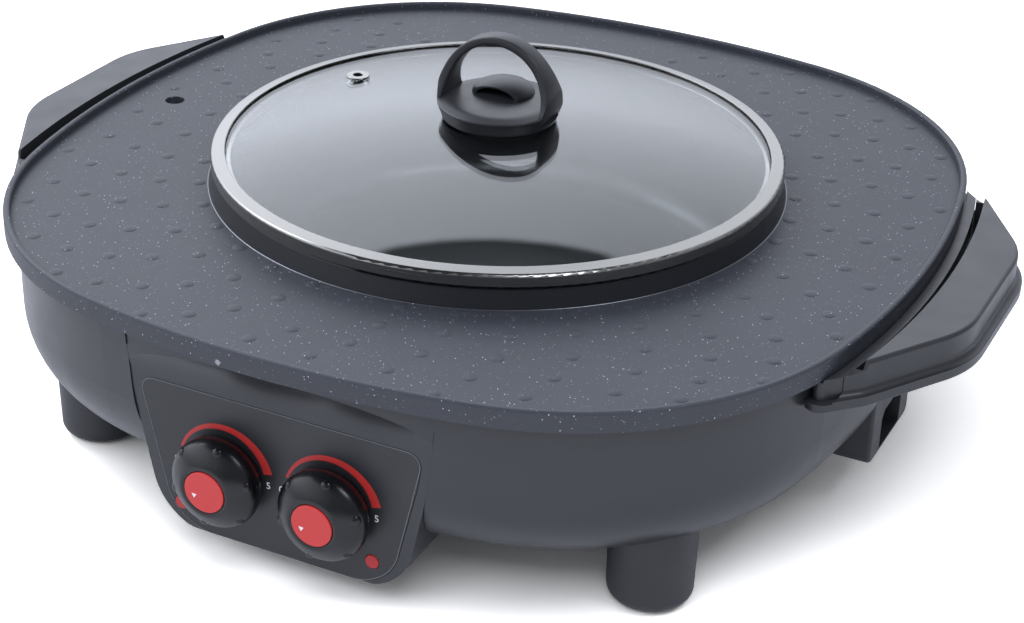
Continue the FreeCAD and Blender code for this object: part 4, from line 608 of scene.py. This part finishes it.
def fascia_edge_highlight():
    """Fine light grey tube round the fascia: a painted highlight where the plate's edge catches the light.
    """
    deselect()
    bpy.ops.mesh.primitive_plane_add(
        size=0.1, location=(0, FASCIA_FRONT_Y * MM, FASCIA_MIDDLE_Z * MM), rotation=(math.pi / 2, 0, 0))
    highlight_tube = bpy.context.object
    bpy.ops.object.transform_apply(location=True, rotation=True, scale=True)
    for point, (x, z, corner) in zip(sorted(highlight_tube.data.vertices, key=turn_order), FASCIA_CORNERS):
        point.co.x = x * MM
        point.co.z = z * MM
    for x, z, corner in FASCIA_CORNERS[:2]:
        begin_edit(highlight_tube, "VERT")
        pick_points(highlight_tube, lambda point: abs(point.z - z * MM) < 0.1 * MM)
        angle = math.radians(FASCIA_TOP_ANGLE if z > FASCIA_MIDDLE_Z else FASCIA_BOTTOM_ANGLE)
        bpy.ops.mesh.bevel(offset=corner / math.tan(angle / 2) * MM, segments=12, affect="VERTICES")
    bpy.ops.mesh.select_all(action="SELECT")
    bpy.ops.mesh.delete(type="ONLY_FACE")
    bpy.ops.object.mode_set(mode="OBJECT")
    bpy.ops.object.convert(target="CURVE")
    highlight_tube = bpy.context.object
    highlight_tube.data.bevel_depth = FASCIA_EDGE_HIGHLIGHT_RADIUS * MM
    highlight_tube.data.bevel_resolution = 1
    bpy.ops.object.convert(target="MESH")
    highlight_tube = bpy.context.object
    smooth(highlight_tube, 60)
    return settle(highlight_tube, "fascia_edge_highlight", edge_highlight_plastic, "base")


def turn_order(point):
    """Sorts the plate's corners: top left, bottom left, bottom right, top right."""
    return ((point.co.x > 0), (point.co.z > FASCIA_MIDDLE_Z * MM) == (point.co.x > 0))


# Control knobs: domed turnings with a ring of nubs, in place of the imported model's plainer ones

def control_knob(side, knob_x):
    """Glossy domed knob: its profile is drawn point by point and spun, then six nubs are set in."""
    deselect()
    bpy.ops.mesh.primitive_plane_add(size=1 * MM, location=(knob_x * MM, KNOB_SEAT_Y * MM, KNOB_AXIS_Z * MM))
    knob = bpy.context.object
    bpy.ops.object.transform_apply(location=True, rotation=True, scale=True)
    begin_edit(knob, "VERT")
    bpy.ops.mesh.select_all(action="SELECT")
    bpy.ops.mesh.merge(type="CENTER")
    profile = [(0, 0), (KNOB_SEAT_RADIUS, 0)]
    for step in range(1, KNOB_FLARE_STEPS):
        short = 1 - step / KNOB_FLARE_STEPS
        radius = KNOB_RADIUS - (KNOB_RADIUS - KNOB_SEAT_RADIUS) * short**2
        profile.append((radius, KNOB_BELLY_DEPTH * step / KNOB_FLARE_STEPS))
    for step in range(KNOB_DOME_STEPS + 1):
        share = step / KNOB_DOME_STEPS
        depth = KNOB_BELLY_DEPTH + (KNOB_DOME_DEPTH - KNOB_BELLY_DEPTH) * share
        profile.append((KNOB_RADIUS - (KNOB_RADIUS - KNOB_DOME_RADIUS) * share**KNOB_DOME_CURVE, depth))
    profile += KNOB_FACE
    for (radius, depth), (next_radius, next_depth) in zip(profile, profile[1:]):
        move = (0, -(next_depth - depth) * MM, (next_radius - radius) * MM)
        bpy.ops.mesh.extrude_region_move(TRANSFORM_OT_translate={"value": move})
    bpy.ops.mesh.select_all(action="SELECT")
    bpy.ops.mesh.spin(
        steps=72,
        angle=2 * math.pi,
        center=(knob_x * MM, KNOB_SEAT_Y * MM, KNOB_AXIS_Z * MM),
        axis=(0, 1, 0),
    )
    bpy.ops.mesh.select_all(action="SELECT")
    bpy.ops.mesh.remove_doubles(threshold=0.005 * MM)
    bpy.ops.mesh.normals_make_consistent(inside=False)
    bpy.ops.object.mode_set(mode="OBJECT")
    pieces = [knob]
    for index in range(NUBS):
        angle = math.radians(NUB_ANGLE + index * 360 / NUBS)
        bpy.ops.mesh.primitive_uv_sphere_add(
            segments=20,
            ring_count=12,
            radius=NUB_RADIUS * MM,
            location=(
                (knob_x + NUB_CENTRE_RADIUS * math.cos(angle)) * MM,
                (KNOB_SEAT_Y - NUB_CENTRE_DEPTH) * MM,
                (KNOB_AXIS_Z + NUB_CENTRE_RADIUS * math.sin(angle)) * MM,
            ),
        )
        nub = bpy.context.object
        nub.scale = (1.0, 0.92, 1.0)
        pieces.append(nub)
    deselect()
    for piece in pieces:
        piece.select_set(True)
    bpy.context.view_layer.objects.active = knob
    bpy.ops.object.join()
    smooth(knob, 50)
    finish = finishes["control_knob_gloss"]
    knob = settle(knob, "knob_dome_" + side, finish, "knob_" + side)
    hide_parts("control_knob_" + side)
    return knob


# Lid knob: a rounded carrying arch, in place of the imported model's plainer one

def carrying_arch():
    """Arched band over the lid knob: narrow at the top, flared at its two feet, with soft edges."""
    low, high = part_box("lid_knob_arch")
    foot_z = ARCH_FOOT_Z * MM
    rise = high[2] - foot_z - ARCH_THICKNESS / 2 * MM
    half = high[0] - ARCH_THICKNESS / 2 * MM
    deselect()
    bpy.ops.mesh.primitive_circle_add(
        vertices=96, radius=half, fill_type="NOTHING", location=(0, 0, foot_z), rotation=(math.pi / 2, 0, 0))
    arch = bpy.context.object
    arch.scale = (1, rise / half, 1)
    bpy.ops.object.transform_apply(location=True, rotation=True, scale=True)
    begin_edit(arch, "VERT")
    pick_points(arch, lambda point: point.z < low[2])
    bpy.ops.mesh.delete(type="VERT")
    bpy.ops.mesh.select_all(action="SELECT")
    bpy.ops.mesh.extrude_region()
    bpy.ops.object.mode_set(mode="OBJECT")
    for point in arch.data.vertices:
        fall = 1 - min(max((point.co.z - foot_z) / rise, 0), 1)
        width = ARCH_TOP_WIDTH + (ARCH_FOOT_WIDTH - ARCH_TOP_WIDTH) * fall**ARCH_FLARE_CURVE
        half_width = width / 2 * MM
        point.co.y = half_width if point.select else -half_width
    wall = arch.modifiers.new("wall", "SOLIDIFY")
    wall.thickness = ARCH_THICKNESS * MM
    wall.offset = 0
    wall.use_even_offset = True
    bpy.ops.object.modifier_apply(modifier="wall")
    begin_edit(arch)
    bpy.ops.mesh.select_all(action="SELECT")
    bpy.ops.mesh.normals_make_consistent(inside=False)
    bpy.ops.object.mode_set(mode="OBJECT")
    edges = arch.modifiers.new("edges", "BEVEL")
    edges.width = ARCH_EDGE * MM
    edges.segments = 3
    edges.limit_method = "ANGLE"
    edges.angle_limit = math.radians(40)
    bpy.ops.object.modifier_apply(modifier="edges")
    for point in arch.data.vertices:
        limit = high[0] - max(foot_z - point.co.z, 0) * ARCH_BASE_TAPER
        if math.hypot(point.co.x, point.co.y) > limit:
            point.co.x = math.copysign(math.sqrt(limit * limit - point.co.y * point.co.y), point.co.x)
    smooth(arch, 35)
    arch = settle(arch, "lid_carrying_arch", finishes["lid_knob_phenolic"], "lid")
    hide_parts("lid_knob_arch")
    return arch


# Turned aluminium: the coat is cut away by the lathe, bright with fine rings
bare_aluminium = metal("bare_turned_aluminium", "#6F7174", "#8A8C90", 0.35, (1, 1, 6), 1.5)
# Screen inks on polycarbonate: flat, slightly uneven
red_ink = moulded("red_screen_ink", "#B02A27", "#BE3330", 0.45, 0.004, 0.5)
white_ink = moulded("white_screen_ink", "#DCDCDC", "#E8E8E8", 0.5, 0.004, 0.5)
# Painted highlight along the polycarbonate plate's edge: a light grey tube, paler than its printed face
edge_highlight_plastic = moulded("painted_edge_highlight", "#6E7075", "#7C7F85", 0.3)

griddle_dots()
collar_bare_ring()
for side, knob_x in (("left", -KNOB_SPACING / 2), ("right", KNOB_SPACING / 2)):
    control_knob(side, knob_x)
    dial_arc("dial_arc_" + side, knob_x)
    dial_number("dial_zero_" + side, "0", knob_x + ZERO_X, KNOB_AXIS_Z, END_DIGIT_HEIGHT)
    dial_number("dial_five_" + side, "5", knob_x + FIVE_X, KNOB_AXIS_Z, END_DIGIT_HEIGHT)
    number = "1" if side == "left" else "2"
    dial_number("dial_name_" + side, number, knob_x + NAME_X, NAME_Z, NAME_HEIGHT)
    cap_pointer("cap_pointer_" + side, knob_x, "knob_" + side)
fascia_edge_highlight()
carrying_arch()
deselect()


# Studio: pale floor, pale surroundings behind and beside, two softboxes

def pale_floor():
    """White studio board, lit past white to the camera, so that only close shadows stay."""
    material, shader = new_material("white_studio_board")
    shader.inputs["Base Color"].default_value = srgb("#EDEDEF")
    shader.inputs["Roughness"].default_value = 0.7
    shader.inputs["Specular IOR Level"].default_value = 0.2
    seen_board = add(material, "ShaderNodeBsdfDiffuse", {"Color": (1.68, 1.62, 1.5, 1)})
    path = add(material, "ShaderNodeLightPath")
    seen = add(
        material,
        "ShaderNodeMixShader",
        {0: path.outputs["Is Camera Ray"], 1: shader.outputs[0], 2: seen_board.outputs[0]},
    )
    output = next(n for n in material.node_tree.nodes if n.type == "OUTPUT_MATERIAL")
    material.node_tree.links.new(seen.outputs[0], output.inputs["Surface"])
    return material


bpy.ops.mesh.primitive_plane_add(size=30, location=(0, 0, 0))
floor = bpy.context.object
floor.name = "studio_floor"
floor.data.materials.append(pale_floor())

# The pale surroundings end 49 degrees up, where the lid's near edge stops mirroring them. They
# are brightest to the left, behind the left handle, and fade round to the right and the front. Low down
# they are dimmer, so that the shadow under the body stays dark
BACKDROP_TOP = 48.8
DAYLIGHT = (0.94, 0.985, 1.10, 1.0)
BACKDROP_STRENGTH = 2.3
DIMMEST_SHARE = 0.15
LOW_WALL_TOP = 18
LOW_WALL_SHARE = 0.35
BRIGHTEST_AZIMUTH = math.radians(-70)
world = bpy.data.worlds.new("studio")
scene.world = world
world.use_nodes = True
world.node_tree.nodes.clear()
direction = add(world, "ShaderNodeTexCoord").outputs["Generated"]
parts = add(world, "ShaderNodeSeparateXYZ", {"Vector": direction})
level = add(world, "ShaderNodeCombineXYZ", {"X": parts.outputs[0], "Y": parts.outputs[1]})
level = add(world, "ShaderNodeVectorMath", {0: level.outputs[0]}, operation="NORMALIZE").outputs[0]
ahead = add(
    world,
    "ShaderNodeVectorMath",
    {0: level, 1: (math.sin(BRIGHTEST_AZIMUTH), math.cos(BRIGHTEST_AZIMUTH), 0)},
    operation="DOT_PRODUCT",
).outputs["Value"]
beside = add(
    world,
    "ShaderNodeMapRange",
    {
        "Value": ahead,
        "From Min": -0.5,
        "From Max": 1.0,
        "To Min": DIMMEST_SHARE * BACKDROP_STRENGTH,
        "To Max": BACKDROP_STRENGTH,
    },
).outputs[0]
below = add(
    world,
    "ShaderNodeMapRange",
    {
        "Value": parts.outputs[2],
        "From Min": math.sin(math.radians(BACKDROP_TOP - 0.5)),
        "From Max": math.sin(math.radians(BACKDROP_TOP + 0.5)),
        "To Min": 1.0,
        "To Max": 0.05,
    },
).outputs[0]
low_wall = add(
    world,
    "ShaderNodeMapRange",
    {"Value": parts.outputs[2], "From Max": math.sin(math.radians(LOW_WALL_TOP)), "To Min": LOW_WALL_SHARE},
).outputs[0]
glow = add(world, "ShaderNodeMath", {0: beside, 1: below}, operation="MULTIPLY").outputs[0]
glow = add(world, "ShaderNodeMath", {0: glow, 1: low_wall}, operation="MULTIPLY").outputs[0]
paths = add(world, "ShaderNodeLightPath")
strength = add(world, "ShaderNodeMix", {0: paths.outputs["Is Camera Ray"], 2: glow, 3: 1.0}).outputs[0]
daylight = add(
    world,
    "ShaderNodeMix",
    {0: paths.outputs["Is Camera Ray"], 6: DAYLIGHT, 7: (1.0, 1.0, 1.0, 1.0)},
    data_type="RGBA",
).outputs[2]
background = add(world, "ShaderNodeBackground", {"Color": daylight, "Strength": strength})
add(world, "ShaderNodeOutputWorld", {"Surface": background.outputs[0]})


def softbox(name, azimuth, height_angle, distance, size, power, mirrored=True):
    """A square softbox that faces the pot. Azimuth is from straight behind the pot towards +X."""
    light = bpy.data.lights.new(name, "AREA")
    light.shape = "SQUARE"
    light.size = size
    light.energy = power
    light.color = DAYLIGHT[:3]
    lamp = bpy.data.objects.new(name, light)
    scene.collection.objects.link(lamp)
    azimuth = math.radians(azimuth)
    rise = math.radians(height_angle)
    target = Vector((0, 0, 0.08))
    aim = Vector((math.cos(rise) * math.sin(azimuth), math.cos(rise) * math.cos(azimuth), math.sin(rise)))
    lamp.location = target + aim * distance
    lamp.rotation_mode = "QUATERNION"
    lamp.rotation_quaternion = (-aim).to_track_quat("-Z", "Y")
    lamp.visible_glossy = mirrored
    return lamp


softbox("left_softbox", -85, 46, 1.3, 0.45, 4.0)
softbox("right_softbox", 105, 53, 1.3, 0.45, 4.5)
softbox("front_fill", 165, 55, 1.6, 1.1, 15.0, mirrored=False)

# Camera at the photograph's place: found by fitting the lid, the pan's rim and the feet
EYE = Vector((0.37330, -0.76054, 0.48832))
AIM = Vector((0.06303, -0.11358, 0.10400))
ROLL = math.radians(1.665)
FRAME_WIDTH = 1024
FOCAL_PIXELS = 2176.16
SENSOR = 36.0
forward = (AIM - EYE).normalized()
level_right = forward.cross(Vector((0, 0, 1))).normalized()
level_up = level_right.cross(forward)
right = level_right * math.cos(ROLL) + level_up * math.sin(ROLL)
up = level_up * math.cos(ROLL) - level_right * math.sin(ROLL)
lens = bpy.data.cameras.new("photo_camera")
lens.sensor_width = SENSOR
lens.lens = FOCAL_PIXELS * SENSOR / FRAME_WIDTH
lens.clip_start = 0.02
lens.clip_end = 60
camera = bpy.data.objects.new("photo_camera", lens)
scene.collection.objects.link(camera)
camera.rotation_mode = "QUATERNION"
camera.rotation_quaternion = Matrix((right, up, -forward)).transposed().to_quaternion()
camera.location = EYE
scene.camera = camera
